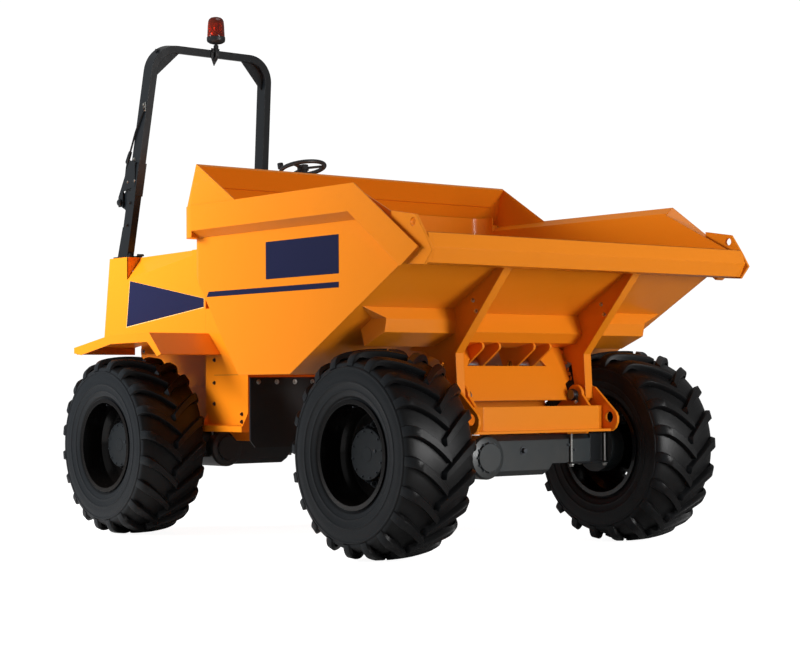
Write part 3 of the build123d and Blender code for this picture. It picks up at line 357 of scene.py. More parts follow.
def tyre_rubber(name, tread, wall_sheen, dust):
    """Tyre rubber: a darker tread, painted shade among the bars, and paler bluish walls, painted sheen of the
    smooth rubber, where the surface looks along the axle.
    """
    made, tree, shader = material(name)
    grime = use_group(tree, road_dust, Dust=dust, Amount=0.25, Reach=1.3, Scale=6.0)
    surface = use_group(tree, grain, Scale=260.0, Height=0.0005)
    shape = add_node(tree, "ShaderNodeNewGeometry")
    split = add_node(tree, "ShaderNodeSeparateXYZ")
    size = add_node(tree, "ShaderNodeMath", operation="ABSOLUTE")
    mask = add_node(tree, "ShaderNodeMapRange", i_1=0.55, i_2=0.9)
    mix = add_node(tree, "ShaderNodeMix", data_type="RGBA")
    # The tread colour is darkened as painted shade, and the wall colour is lightened and blued as painted
    # sheen.
    mix.inputs[6].default_value = tread
    mix.inputs[7].default_value = wall_sheen
    link = tree.links.new
    link(shape.outputs["True Normal"], split.inputs[0])
    link(split.outputs["Y"], size.inputs[0])
    link(size.outputs[0], mask.inputs[0])
    link(mask.outputs[0], mix.inputs[0])
    link(mix.outputs[2], grime.inputs["Colour"])
    link(grime.outputs["Colour"], shader.inputs["Base Color"])
    link(surface.outputs["Normal"], shader.inputs["Normal"])
    shader.inputs["Roughness"].default_value = 0.42
    shader.inputs["Specular IOR Level"].default_value = 0.30
    return made


def metal(name, colour, rough, metallic=1.0, scale=60.0, height=0.00005):
    """Bare or plated steel with slight tool marks."""
    made, tree, shader = material(name)
    marks = use_group(tree, grain, Scale=scale, Height=height)
    spread = add_node(tree, "ShaderNodeMath", operation="MULTIPLY_ADD", i_1=0.15, i_2=rough)
    link = tree.links.new
    link(marks.outputs["Value"], spread.inputs[0])
    link(marks.outputs["Normal"], shader.inputs["Normal"])
    link(spread.outputs[0], shader.inputs["Roughness"])
    shader.inputs["Base Color"].default_value = colour
    shader.inputs["Metallic"].default_value = metallic
    return made


def clear_plastic(name, colour):
    """Tinted see-through lamp plastic whose tint varies a little in soft noise."""
    made, tree, shader = material(name)
    place = add_node(tree, "ShaderNodeTexCoord")
    noise = add_node(tree, "ShaderNodeTexNoise", i_Scale=30.0)
    tint = add_node(tree, "ShaderNodeMix", data_type="RGBA")
    tint.inputs[6].default_value = colour
    tint.inputs[7].default_value = tuple(0.7 * c for c in colour[:3]) + (1.0,)
    tree.links.new(place.outputs["Object"], noise.inputs["Vector"])
    tree.links.new(noise.outputs["Fac"], tint.inputs[0])
    tree.links.new(tint.outputs[2], shader.inputs["Base Color"])
    shader.inputs["Roughness"].default_value = 0.08
    shader.inputs["Transmission Weight"].default_value = 0.75
    shader.inputs["IOR"].default_value = 1.49
    return made


dry_mud = linear(150, 120, 85)
finishes = {
    "orange_paint": sprayed_paint("orange_paint", linear(230, 130, 23), dry_mud, 0.04, 0.30, 0.10,
                                  shine=0.22),
    "black_paint": sprayed_paint("black_paint", linear(17, 20, 23), dry_mud, 0.04, 0.30, 0.3),
    "rim_paint": sprayed_paint("rim_paint", linear(7, 7, 8), dry_mud, 0.02, 0.20, 0.2, shine=0.3),
    "slate_paint": sprayed_paint("slate_paint", linear(31, 39, 42), dry_mud, 0.08, 0.42, 0.1),
    # Tyre: the dark tread colour is painted shade among the bars; the paler bluish wall colour is painted
    # sheen.
    "tyre": tyre_rubber("tyre_rubber", linear(8, 8, 9), linear(24, 27, 30), linear(40, 40, 40)),
    "flap_rubber": rubber("flap_rubber", linear(24, 24, 25), linear(70, 66, 60), 0.3, 0.6, 300.0, 0.0004),
    "seat_cover": rubber("seat_vinyl", linear(27, 27, 29), linear(60, 60, 60), 0.1, 0.5, 500.0, 0.0002),
    "black_plastic": rubber("black_plastic", linear(30, 31, 33), linear(60, 60, 60), 0.1, 0.42,
                            700.0, 0.0001),
    "beacon_lens": clear_plastic("amber_lens", linear(150, 48, 24)),
    "cast_iron": metal("cast_iron", linear(52, 56, 60), 0.6, 0.3, 120.0, 0.0006),
    "rod_chrome": metal("rod_chrome", linear(205, 207, 212), 0.12, 1.0, 200.0, 0.00001),
    "pin_steel": metal("pin_steel", linear(110, 110, 112), 0.4, 1.0),
    "zinc": metal("zinc_plate", linear(190, 190, 186), 0.3, 1.0, 150.0, 0.00002),
    "dark_steel": metal("dark_steel", linear(70, 74, 78), 0.38, 0.7, 150.0, 0.00005),
    "amber_metal": metal("amber_metal", linear(235, 120, 30), 0.25, 0.6, 150.0, 0.00002),
    "hub_paint": sprayed_paint("hub_paint", linear(25, 29, 32), dry_mud, 0.02, 0.40, 0.1, shine=0.3),
    "navy": sprayed_paint("navy_film", linear(26, 29, 58), dry_mud, 0.02, 0.30, 0.05,
                          ripple=0.00005, shine=0.2),
    # cream: the dials' own colour, and the painted highlight round the engine housing's dark trapezium
    "cream": sprayed_paint("cream_and_rim_highlight", linear(245, 205, 130), dry_mud, 0.05, 0.35, 0.2, ripple=0.00005),
}
for entry in frame["record"]["subparts"]:
    node = nodes[entry["node"]]
    node.data.materials.clear()
    node.data.materials.append(finishes[entry["material_slot"]])


def dress(piece, body, finish):
    """Give a finished piece its material and its body."""
    piece.data.materials.clear()
    piece.data.materials.append(finishes[finish])
    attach(piece, body)
    return piece


# ---------------------------------------------------------------- tyres
lugs_each_side = 20
lug_sweep = 0.27


def smooth_through(points, count):
    """Points on a smooth curve through a few chosen ones, by Catmull-Rom pieces of equal count."""
    p = np.asarray(points, float)
    p = np.vstack([2 * p[0] - p[1], p, 2 * p[-1] - p[-2]])
    t = np.linspace(0, 1, count, endpoint=False)[:, None]
    parts = []
    for a, b, c, d in zip(p, p[1:], p[2:], p[3:]):
        parts.append(0.5 * (2 * b + (c - a) * t + (2 * a - 5 * b + 4 * c - d) * t ** 2
                            + (3 * b - a - 3 * c + d) * t ** 3))
    parts.append(p[-2][None, :])
    return np.vstack(parts)


def around_axle(radius, across, angle, centre):
    """Point on a wheel: radius and angle turn about the axle, across runs along it."""
    x = radius * np.sin(angle) + centre[0]
    y = across + centre[1] + 0 * angle
    z = radius * np.cos(angle) + centre[2]
    return np.stack(np.broadcast_arrays(x, y, z), -1)


def carcass_profile():
    """Half section of the tyre without lugs, from bead to crown: radius and distance across."""
    half = smooth_through([
        (0.287, 0.190), (0.300, 0.203), (0.313, 0.207), (0.322, 0.216), (0.345, 0.224), (0.352, 0.229),
        (0.362, 0.229), (0.390, 0.2345), (0.394, 0.2375), (0.402, 0.2385), (0.406, 0.2365), (0.440, 0.2380),
        (0.468, 0.2360), (0.472, 0.2385), (0.480, 0.2375), (0.484, 0.2325), (0.494, 0.2300),
        (0.506, 0.221), (0.521, 0.190), (0.534, 0.140), (0.542, 0.080), (0.545, 0.0),
    ], 3)
    return half


def add_lug(pieces, phase, side, centre):
    """One tread bar: its section carried from past the crown's middle out over the shoulder.

    Along the bar the angle lags by the sweep times one minus (1 - u) to the 1.4, so that it
    runs at about 45 degrees in the middle and straight across at the shoulder.
    """
    top = smooth_through([(0.5800, -0.014), (0.5795, 0.03), (0.5775, 0.09), (0.5690, 0.165),
                          (0.5570, 0.203), (0.5330, 0.2245), (0.5050, 0.2345), (0.488, 0.2365)], 2)
    r, y = top[:, 0], top[:, 1]
    u = np.clip(y / 0.2345, -0.1, 1.0)
    lag = lug_sweep * np.where(u < 0, 1.4 * u, 1 - (1 - np.clip(u, 0, 1)) ** 1.4)
    depth = 0.046 - 0.034 * np.clip((u - 0.6) / 0.4, 0, 1)
    wide = 0.021 + 0.006 * u
    span = np.array([-1.34, -1.13, -1.02, -0.90, 0.90, 1.02, 1.13, 1.34])
    drop = np.array([1.0, 0.40, 0.07, 0.0, 0.0, 0.07, 0.40, 1.0])
    angle = phase - lag[:, None] + wide[:, None] * span[None, :] / 0.56
    radius = r[:, None] - depth[:, None] * drop[None, :]
    across = side * (y[:, None] * (1 - 0.05 * drop[None, :]))
    points = around_axle(radius, across, angle, centre)
    inner_end = radius[:1] - 0.046 * (1 - drop[None, :])
    first = around_axle(inner_end, across[:1] - side * 0.012, angle[:1], centre)
    last = around_axle(radius[-1:] - 0.004, across[-1:] - side * 0.010, angle[-1:], centre)
    pieces.add_grid(np.concatenate([first, points, last]), close_cols=True, cap_rows=True, flip=side > 0)


def tyre(name, wheel, phase):
    """Tyre with its carcass turned round the axle and bars on both halves, half a pitch apart."""
    low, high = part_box("tyre_" + wheel)
    centre = ((low[0] + high[0]) / 2, (low[1] + high[1]) / 2, (low[2] + high[2]) / 2)
    half = carcass_profile()
    section = np.vstack([half, half[-2::-1] * [1, -1]])
    angle = circle(128)[:, None]
    pieces = Pieces()
    pieces.add_grid(around_axle(section[None, :, 0], section[None, :, 1], angle, centre),
                    close_rows=True, close_cols=True)
    pitch = 2 * math.pi / lugs_each_side
    for count in range(lugs_each_side):
        add_lug(pieces, phase + count * pitch, -1, centre)
        add_lug(pieces, phase + (count + 0.5) * pitch, 1, centre)
    piece = pieces.make(name, 40)
    dress(piece, "wheel_" + wheel, "tyre")
    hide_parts("tyre_" + wheel)


wheels = ["front_right", "front_left", "rear_right", "rear_left"]
for number, wheel in enumerate(wheels):
    tyre("tread_" + wheel, wheel, 0.06 * number)


# ---------------------------------------------------------------- where things are
def middle_of(node):
    """Centre of a node's box."""
    low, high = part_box(node)
    return (np.array(low) + np.array(high)) / 2


front_axle = middle_of("tyre_front_right")
rear_axle = middle_of("tyre_rear_right")
mid = np.array(((front_axle[0] + rear_axle[0]) / 2, 0.0, 0.0))
half_base = (front_axle[0] - rear_axle[0]) / 2
RIGHT, LEFT = -1, 1
AHEAD, BACK, UP, DOWN = (1, 0, 0), (-1, 0, 0), (0, 0, 1), (0, 0, -1)


def on_side(points, y, side):
    """Outline in X and Z put on the right or left face at distance y, anticlockwise from outside."""
    points = np.asarray(points, float)
    row = np.stack([points[:, 0], np.full(len(points), side * y), points[:, 1]], -1)
    return row if side == RIGHT else row[::-1]


def on_front(points, x):
    """Outline in Y and Z put on a face at x that looks ahead."""
    points = np.asarray(points, float)
    return np.stack([np.full(len(points), x), points[:, 0], points[:, 1]], -1)


def on_top(points, z):
    """Outline in X and Y put on a level face at z."""
    points = np.asarray(points, float)
    return np.stack([points[:, 0], points[:, 1], np.full(len(points), z)], -1)


# ---------------------------------------------------------------- wheels' small parts
def wheel_fittings(wheel):
    """Hub cover with its screws, the ring of wheel nuts and the tyre valve."""
    centre = middle_of("tyre_" + wheel)
    side = math.copysign(1, centre[1])
    out = (0, side, 0)
    cover = Pieces(centre)
    cover.add_turned((0, side * 0.0945, 0), out,
                     [(0.143, 0), (0.143, 0.005), (0.140, 0.008), (0.042, 0.008), (0.040, 0.010),
                      (0.001, 0.010)], 48)
    dress(cover.make("hub_cover_" + wheel, 35), "wheel_" + wheel, "hub_paint")
    nuts = Pieces(centre)
    for angle in circle(12, 0.2):
        nuts.add_bolt((0.128 * math.cos(angle), side * 0.1025, 0.128 * math.sin(angle)), out, 0.010, angle)
    for angle in circle(8, math.pi / 8):
        for turn in (-0.17, 0.17):
            x, z = 0.1675 * math.cos(angle + turn), 0.1675 * math.sin(angle + turn)
            nuts.add_bolt((x, side * 0.020, z), out, 0.026, angle)
            nuts.add_rod((x, side * 0.036, z), (x, side * 0.046, z), 0.008, 10)
    nuts.add_rod((0.070, side * 0.10, 0.02), (0.070, side * 0.107, 0.02), 0.010, 12)
    nuts.add_tube([(0, side * 0.13, 0.276), (0, side * 0.15, 0.268), (0, side * 0.185, 0.262)], 0.004, 8)
    nuts.add_rod((0, side * 0.180, 0.2628), (0, side * 0.198, 0.2605), 0.0055, 8)
    dress(nuts.make("wheel_nuts_" + wheel, 35), "wheel_" + wheel, "dark_steel")


for wheel in wheels:
    wheel_fittings(wheel)


# ---------------------------------------------------------------- skip
skip_side_y = 1.188


def floor_line(x):
    """Height of the skip floor's underside on its long front slope."""
    return 1.024 + (x - 0.787) * (1.737 - 1.024) / (2.037 - 0.787)


def skip_films():
    """Blank dark plate and long stripe on each side of the skip."""
    navy = Pieces(mid)
    for side in (RIGHT, LEFT):
        plate = box_outline(0.904, 1.678, 0.347, 0.1075, 0.004)
        stripe = [(-0.062, 1.494), (1.250, 1.494), (1.250, 1.525), (-0.040, 1.525)]
        for outline in (plate, stripe):
            navy.add_plate(on_side(outline, skip_side_y + 0.0002, side), (0, side, 0), 0.0008)
    dress(navy.make("skip_navy_films"), "skip", "navy")


def skip_welds():
    """Weld beads where the arms and the lip meet the floor, and the stitches beside the front plate."""
    beads = Pieces(mid)
    for side in (RIGHT, LEFT):
        for y in (0.4905, 0.5095):
            for first, last in ((1.445, 1.840), (1.030, 1.205)):
                beads.add_weld((first, side * y, floor_line(first) - 0.003),
                               (last, side * y, floor_line(last) - 0.003))
        for row in range(5):
            z = 0.930 + 0.052 * row
            x = 1.388 - (z - 0.866) * 0.471 + 0.004
            beads.add_weld((x, side * 0.478, z), (x - 0.008, side * 0.490, z + 0.020), 0.006)
    beads.add_weld((1.906, -1.18, floor_line(1.906) - 0.002), (1.906, 1.18, floor_line(1.906) - 0.002), 0.005)
    dress(beads.make("skip_welds", 60), "skip", "orange_paint")


def skip_bolts():
    """Screws in the arms' faces."""
    bolts = Pieces(mid)
    for side in (RIGHT, LEFT):
        for x, z in ((1.585, 1.425), (1.610, 1.365)):
            bolts.add_bolt((x, side * 0.508, z), (0, side, 0), 0.016)
            bolts.add_bolt((x, side * 0.492, z), (0, -side, 0), 0.016)
    dress(bolts.make("skip_bolts", 35), "skip", "zinc")


skip_films()
skip_welds()
skip_bolts()


# ---------------------------------------------------------------- axles, front frame, rams
def axle_fittings(name, body, axle_x, ahead):
    """Long studs and nuts beside the casing, their black clamps, and the bolts of its face."""
    bright, clamp, dark = Pieces(mid), Pieces(mid), Pieces(mid)
    for side in (RIGHT, LEFT):
        for end in (-1, 1):
            x = axle_x + end * 0.106
            for y in (0.395, 0.672):
                bright.add_rod((x, side * y, 0.474), (x, side * y, 0.664), 0.0075, 10)
                bright.add_bolt((x, side * y, 0.4865), DOWN, 0.022)
            low, high = side * 0.5335 - 0.160, side * 0.5335 + 0.160
            clamp.add_plate(on_front([(low, 0.487), (high, 0.487), (high, 0.499), (low, 0.499)], x - 0.013),
                            AHEAD, 0.026)
            clamp.add_plate(on_front([(side * 0.625 - 0.065, 0.499), (side * 0.625 + 0.065, 0.499),
                                      (side * 0.625 + 0.065, 0.664), (side * 0.625 - 0.065, 0.664)],
                                     axle_x + end * 0.092 - 0.004), AHEAD, 0.008)
        for y, z in ((0.379, 0.600), (0.428, 0.570)):
            dark.add_bolt((axle_x + ahead * 0.095, side * y, z), (ahead, 0, 0), 0.014)
    face = axle_x + ahead * 0.095
    dark.add_bolt((face, 0.019, 0.575), (ahead, 0, 0), 0.030)
    for angle in circle(12):
        dark.add_bolt((axle_x + ahead * 0.166, -0.310 + 0.082 * math.cos(angle),
                       0.545 + 0.082 * math.sin(angle)), (ahead, 0, 0), 0.012, angle)
    dress(bright.make(name + "_studs", 35), body, "zinc")
    dress(dark.make(name + "_bolts", 35), body, "dark_steel")
    dress(clamp.make(name + "_clamps"), body, "black_paint")


def front_frame_fittings():
    """Pin caps and keeper plates of the skip's pivots with their bolts, and the mud flaps' bolts."""
    dark, bright = Pieces(mid), Pieces(mid)
    for side in (RIGHT, LEFT):
        dark.add_turned((1.415, side * 0.421, 0.895), (0, -side, 0),
                        [(0.036, 0), (0.036, 0.012), (0.030, 0.018), (0.012, 0.018)], 24)
        keeper = [(1.395, 0.905), (1.438, 0.842), (1.462, 0.858), (1.425, 0.920)]
        dark.add_plate(on_side(keeper, -0.4205, -side), (0, -side, 0), 0.008)
        bright.add_bolt((1.447, side * 0.4125, 0.853), (0, -side, 0), 0.014)
        bright.add_bolt((1.415, side * 0.5605, 0.895), (0, side, 0), 0.016)
        for y in (0.72, 0.85, 0.98, 1.11):
            bright.add_bolt((0.366, side * y, 0.983), AHEAD, 0.018)
            bright.add_bolt((0.350, side * y, 0.983), BACK, 0.018)
    dress(dark.make("pin_keepers", 35), "front_frame", "black_paint")
    dress(bright.make("front_frame_bolts", 35), "front_frame", "zinc")


def ram_pipes(name, side):
    """Gland nut and the steel pipe clipped along a tipping ram's barrel."""
    start = np.array((0.480, side * 0.200, 0.770))
    end = np.array((1.180, side * 0.200, 1.075))
    way = (end - start) / np.linalg.norm(end - start)
    up = np.cross((0, -1, 0), way)
    dark = Pieces(mid)
    gland = [(0.050, 0), (0.050, 0.010), (0.044, 0.013), (0.0285, 0.013)]
    dark.add_turned(start + way * 0.600, way, gland, 6)
    route = [(0.10, 0.045), (0.10, 0.066), (0.118, 0.074), (0.545, 0.074), (0.565, 0.066), (0.565, 0.050)]
    line = [start + way * reach + up * lift for reach, lift in route]
    dark.add_tube(smooth_through(line, 5), 0.008, 10)
    for reach in (0.10, 0.565):
        dark.add_turned(start + way * reach + up * 0.045, up, [(0.015, 0), (0.015, 0.016), (0.012, 0.018)], 6)
    for reach in (0.24, 0.42):
        dark.add_turned(start + way * reach, way, [(0.0545, 0), (0.0545, 0.016), (0.051, 0.016)], 32)
    dress(dark.make("ram_pipe_" + name, 35), "tip_barrel_" + name, "dark_steel")


axle_fittings("front_axle", "front_frame", half_base, 1)
axle_fittings("rear_axle", "rear_frame", -half_base, 1)
front_frame_fittings()
ram_pipes("right", RIGHT)
ram_pipes("left", LEFT)


# ---------------------------------------------------------------- rear body
def body_films():
    """Blank dark trapezium on each side of the engine housing, with a thin pale edge round it as a painted
    highlight along the panel's rim.
    """
    navy, pale = Pieces(mid), Pieces(mid)
    shape = [(-1.897, 1.375), (-0.920, 1.478), (-0.920, 1.534), (-1.850, 1.692)]
    # The edge outline, a little larger than the trapezium, is drawn pale as a painted highlight along the
    # panel's rim.
    edge = [(-1.902, 1.3695), (-0.917, 1.474), (-0.917, 1.535), (-1.854, 1.6935)]
    for side in (RIGHT, LEFT):
        navy.add_plate(on_side(shape, 0.6507, side), (0, side, 0), 0.0006)
        pale.add_plate(on_side(edge, 0.6502, side), (0, side, 0), 0.0006)
    dress(navy.make("body_navy_films"), "rear_frame", "navy")
    dress(pale.make("body_rim_highlights"), "rear_frame", "cream")


def rear_bolts():
    """Bolts of the footwell, mudguards, roll bar feet and posts, and the cover's small knobs."""
    bright, dark = Pieces(mid), Pieces(mid)
    for side in (RIGHT, LEFT):
        out = (0, side, 0)
        for x, z in ((-0.796, 1.129), (-0.797, 0.981), (-0.798, 0.846), (-0.484, 0.781), (-0.485, 0.733)):
            dark.add_bolt((x, side * 0.650, z), out, 0.016)
        for x in (-1.66, -1.52, -0.943):
            bright.add_bolt((x, side * 0.655, 1.205), out, 0.018)
        for y in (0.730, 0.822, 0.916, 1.010):
            bright.add_bolt((-1.790, side * y, 1.208), BACK, 0.018)
        for x, y in ((-1.958, 0.517), (-2.136, 0.517), (-1.958, 0.586)):
            dark.add_bolt((x, side * y, 1.874), UP, 0.022)
        for z in (2.093, 2.250):
            dark.add_bolt((-2.046 + 0.155 * (z - 1.870), side * (0.588 - 0.061 * (z - 1.870)), z), out, 0.018)
        dark.add_turned((-1.920, side * 0.520, 1.860), UP,
                        [(0.010, 0), (0.010, 0.010), (0.022, 0.013), (0.022, 0.022), (0.016, 0.027)], 18)
        seam = [(-0.800, 1.030), (-0.425, 1.030), (-0.425, 1.0325), (-0.800, 1.0325)]
        dark.add_plate(on_side(seam, 0.6501, side), out, 0.0006)
    for y in (-0.505, -0.430, 0.430, 0.505):
        for z in (0.720, 0.870):
            bright.add_bolt((-2.185, y, z), AHEAD, 0.022)
    dress(bright.make("rear_bolts", 35), "rear_frame", "zinc")
    dress(dark.make("rear_dark_bolts", 35), "rear_frame", "black_plastic")


def recess_ends():
    """Upright end plate that closes the sloped recess along the top of each engine housing side."""
    ends = Pieces(mid)
    for side in (RIGHT, LEFT):
        shape = on_front([(side * 0.6495, 1.700), (side * 0.540, 1.8595), (side * 0.6495, 1.8595)], -1.898)
        ends.add_plate(shape if side == RIGHT else shape[::-1], AHEAD, 0.008)
    dress(ends.make("recess_ends"), "rear_frame", "orange_paint")


def chassis_web():
    """Upright web across the front chassis, behind the skip's front plate."""
    web = Pieces(mid)
    web.add_plate(on_front([(-0.395, 0.730), (0.395, 0.730), (0.395, 0.905), (-0.395, 0.905)], 1.192), AHEAD,
                  0.010)
    dress(web.make("chassis_web"), "front_frame", "orange_paint")


def step_teeth():
    """Row of small teeth along the outer edge of each step."""
    teeth = Pieces(mid)
    for side in (RIGHT, LEFT):
        for x in np.arange(-0.870, -0.425, 0.019):
            outline = [(x - 0.007, 0.705), (x + 0.007, 0.705), (x, 0.714)]
            face = on_side(outline, 0.700, side)
            teeth.add_plate(face - np.array((0, side * 0.005, 0)), (0, side, 0), 0.005)
    dress(teeth.make("step_teeth"), "rear_frame", "orange_paint")


def console_fittings():
    """Dark dash panel with three dials and a row of switches, two pedals and three levers."""
    low, high = np.array((-0.760, 0, 2.010)), np.array((-0.635, 0, 2.080))
    along = (high - low) / np.linalg.norm(high - low)
    out = np.array((-along[2], 0, along[0]))
    across = np.array((0, -1, 0))

    def on_dash(points, lift):
        points = np.asarray(points, float)
        middle = (low + high) / 2 + out * lift
        return middle + points[:, :1] * across + points[:, 1:] * along

    dark, dials, glass, knobs = Pieces(mid), Pieces(mid), Pieces(mid), Pieces(mid)
    dark.add_plate(on_dash(box_outline(0, 0, 0.185, 0.058, 0.012), 0.0002), out, 0.006, 0.003)
    for x in (-0.115, 0.0, 0.115):
        place = on_dash([(x, 0.014)], 0.006)[0]
        dials.add_turned(place, out, [(0.034, 0), (0.034, 0.006), (0.031, 0.008), (0.029, 0.004),
                                      (0.001, 0.004)], 28)
        glass.add_turned(place, out, [(0.029, 0.0042), (0.029, 0.0052)], 28)
        glass.add_plate(on_dash(np.array([(-0.002, 0), (0.002, 0), (0.0006, 0.022), (-0.0006, 0.022)])
                                + (x, 0.010), 0.0112), out, 0.0006)
    for x in np.linspace(-0.14, 0.14, 7):
        dark.add_plate(on_dash(box_outline(x, -0.039, 0.014, 0.010, 0.003), 0.006), out, 0.007, 0.003)
    for y, tall in ((-0.235, 0.16), (0.235, 0.12)):
        base = np.array((-0.690, y * 0.85, 2.010))
        knobs.add_tube([base, base + (-0.01, (y > 0) * 0.03 - 0.015, tall * 0.5), base + (-0.03, 0, tall)],
                       0.006, 10)
        knobs.add_turned(base + (-0.03, 0, tall - 0.012), UP, [(0.010, 0), (0.020, 0.012), (0.022, 0.024),
                                                               (0.016, 0.038), (0.004, 0.042)], 20)
    lever = np.array((-1.240, -0.330, 1.860))
    knobs.add_turned(lever, UP, [(0.040, 0), (0.034, 0.010), (0.022, 0.034), (0.012, 0.040)], 24)
    knobs.add_tube([lever + (0, 0, 0.03), lever + (0.010, 0, 0.13), lever + (0.035, 0, 0.235)], 0.007, 10)
    knobs.add_turned(lever + (0.035, 0, 0.222), UP, [(0.010, 0), (0.020, 0.014), (0.021, 0.030),
                                                     (0.014, 0.044), (0.003, 0.048)], 20)
    for y in (-0.330, 0.300):
        foot = np.array((-0.800, y, 1.465))
        knobs.add_tube([foot + (0.03, 0, 0), foot + (0.02, 0, 0.06), foot + (-0.03, 0, 0.105)], 0.007, 8)
        knobs.add_plate([foot + (-0.060, -0.045, 0.075), foot + (0.000, -0.045, 0.135),
                         foot + (0.000, 0.045, 0.135), foot + (-0.060, 0.045, 0.075)][::-1],
                        (-0.707, 0, 0.707), 0.010, 0.004)
    dress(dark.make("dash_panel", 35), "rear_frame", "black_plastic")
    dress(dials.make("dash_dials", 35), "rear_frame", "black_plastic")
    dress(glass.make("dash_faces", 35), "rear_frame", "cream")
    dress(knobs.make("levers_and_pedals", 35), "rear_frame", "black_plastic")


body_films()
rear_bolts()
recess_ends()
chassis_web()
step_teeth()
console_fittings()


# ---------------------------------------------------------------- roll bar and beacon
def hoop_at(z):
    """Centre of the right leg of the roll bar at a height."""
    rise = z - 1.870
    return np.array((-2.046 + 0.155 * rise, -(0.562 - 0.061 * rise), z))


def hoop_fittings():
    """Bolts, pin caps and collar plates of the fold joints, and the stay clipped to the right leg."""
    dark, bright = Pieces(mid), Pieces(mid)
    for side in (RIGHT, LEFT):
        flip = np.array((1, -side, 1))
        for z, x in ((2.555, -0.020), (2.400, 0.030), (2.400, -0.060)):
            bright.add_bolt((hoop_at(z) + (x, -0.0265, 0)) * flip, (0, side, 0), 0.018)
        pin = np.array((-2.120, -0.566, 2.262)) * flip
        dark.add_turned(pin, (0, side, 0), [(0.024, 0), (0.024, 0.014), (0.018, 0.020), (0.004, 0.020)], 20)
        low, high = hoop_at(2.292) * flip, hoop_at(2.520) * flip
        for face in (-1, 1):
            step = np.array((0, face * 0.0265, 0))
            outline = [low + step + (0.000, 0, 0.020), low + step + (0.058, 0, 0),
                       high + step + (0.058, 0, 0), high + step + (0.012, 0, 0)]
            dark.add_plate(outline if face < 0 else outline[::-1], (0, face, 0), 0.005)
        front = [low + (0.053, -0.0315, 0), low + (0.053, 0.0315, 0), high + (0.053, 0.0315, 0),
                 high + (0.053, -0.0315, 0)]
        dark.add_plate(front, AHEAD, 0.006)
    top, foot = hoop_at(2.900) + (0.035, -0.034, 0), hoop_at(2.585) + (-0.085, -0.034, 0)
    dark.add_tube([top, (top + foot) / 2 + (-0.012, -0.002, 0), foot], 0.007, 10)
    dark.add_turned(foot, foot - top, [(0.012, -0.03), (0.014, 0.0), (0.014, 0.05), (0.009, 0.06)], 16)
    dark.add_tube([foot, foot + (-0.030, 0, -0.08), foot + (-0.060, 0.004, -0.19)], 0.010, 10)
    turn = circle(12)
    ring = top + 0.016 * np.stack([np.cos(turn) * 0.6, np.zeros(len(turn)), np.sin(turn)], -1)
    bright.add_tube(ring, 0.0035, 8)
    bright.add_bolt(top + (-0.012, 0.007, 0.028), (0, -1, 0), 0.016)
    bright.add_plate(on_side([(-0.012, -0.02), (0.012, -0.02), (0.012, 0.045), (-0.012, 0.045)], 0, RIGHT)
                     + top + (0, 0.006, 0), (0, -1, 0), 0.003)
    dress(dark.make("hoop_stay", 35), "rops_hoop", "black_paint")
    dress(bright.make("hoop_bolts", 35), "rops_hoop", "zinc")


def beacon():
    """Black pointed bracket and base, stem with its nut, dark amber lens and the lamp inside it."""
    top = hoop_at(3.335) * (1, 0, 1)
    out = np.array((1, 0, -0.155)) / np.linalg.norm((1, 0, -0.155))
    rise = np.array((0.155, 0, 1)) / np.linalg.norm((0.155, 0, 1))
    face = top + out * 0.0525
    black = Pieces(mid)
    outline = [(0.034, -0.020), (0.000, -0.085), (-0.034, -0.020), (-0.034, 0.040), (0.034, 0.040)]
    points = np.array([face + np.array((0, y, 0)) + rise * z for y, z in outline[::-1]])
    black.add_plate(points, out, 0.008, 0.002)
    for y in (-0.020, 0.020):
        black.add_bolt(face + (0, y, 0) + rise * 0.020 + out * 0.008, out, 0.014)
    stem = np.array((top[0] + 0.070, 0, 0))
    black.add_tube([face + rise * -0.045 + out * 0.008, stem + (0.004, 0, 3.305), stem + (0.002, 0, 3.345),
                    stem + (0, 0, 3.400)], 0.0115, 14)
    black.add_turned(stem + (0, 0, 3.362), UP, [(0.020, 0), (0.020, 0.022), (0.016, 0.026)], 6)
    black.add_turned(stem + (0, 0, 3.397), UP, [(0.030, 0), (0.046, 0.004), (0.062, 0.014), (0.066, 0.026),
                                                (0.066, 0.046), (0.058, 0.050)], 40)
    base = black.make("beacon_base", 40)
    dress(base, "rops_hoop", "black_plastic")
    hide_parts("beacon")
    lens = Pieces(mid)
    lens.add_turned(stem + (0, 0, 3.4455), UP, [(0.061, 0), (0.0625, 0.006), (0.061, 0.030), (0.059, 0.078),
                                               (0.056, 0.110), (0.050, 0.126), (0.038, 0.137), (0.020, 0.142),
                                               (0.002, 0.1435)], 48)
    dress(lens.make("beacon_lens", 60), "rops_hoop", "beacon_lens")
    lamp = Pieces(mid)
    lamp.add_turned(stem + (0, 0, 3.452), UP, [(0.040, 0), (0.040, 0.020), (0.018, 0.026), (0.015, 0.060),
                                              (0.020, 0.075), (0.012, 0.092), (0.002, 0.096)], 24)
    mirror = [(-0.030, 3.480), (0.030, 3.480), (0.030, 3.545), (-0.030, 3.545)]
    lamp.add_plate(on_front(mirror, stem[0] - 0.020), AHEAD, 0.003)
    dress(lamp.make("beacon_lamp", 40), "rops_hoop", "amber_metal")


hoop_fittings()
beacon()


# ---------------------------------------------------------------- seat
def soft_block(half, corner, count=14):
    """Closed box of half sizes with round edges: a sphere's points pushed out to a box's walls."""
    pieces = Pieces()
    polar = np.linspace(0.03, math.pi - 0.03, count * 2)[:, None]
    around = circle(count * 4)[None, :]
    ball = np.stack(np.broadcast_arrays(np.sin(polar) * np.cos(around), np.sin(polar) * np.sin(around),
                                        np.cos(polar)), -1)
    reach = np.max(np.abs(ball), axis=-1, keepdims=True)
    cube = ball / reach
    core = np.asarray(half) - corner
    inside = np.clip(cube * half, -core, core)
    away = cube * half - inside
    size = np.maximum(np.linalg.norm(away, axis=-1, keepdims=True), 1e-9)
    rounded = inside + away / size * np.minimum(size, corner)
    pieces.add_grid(rounded, close_cols=True, cap_rows=True, flip=True)
    return pieces


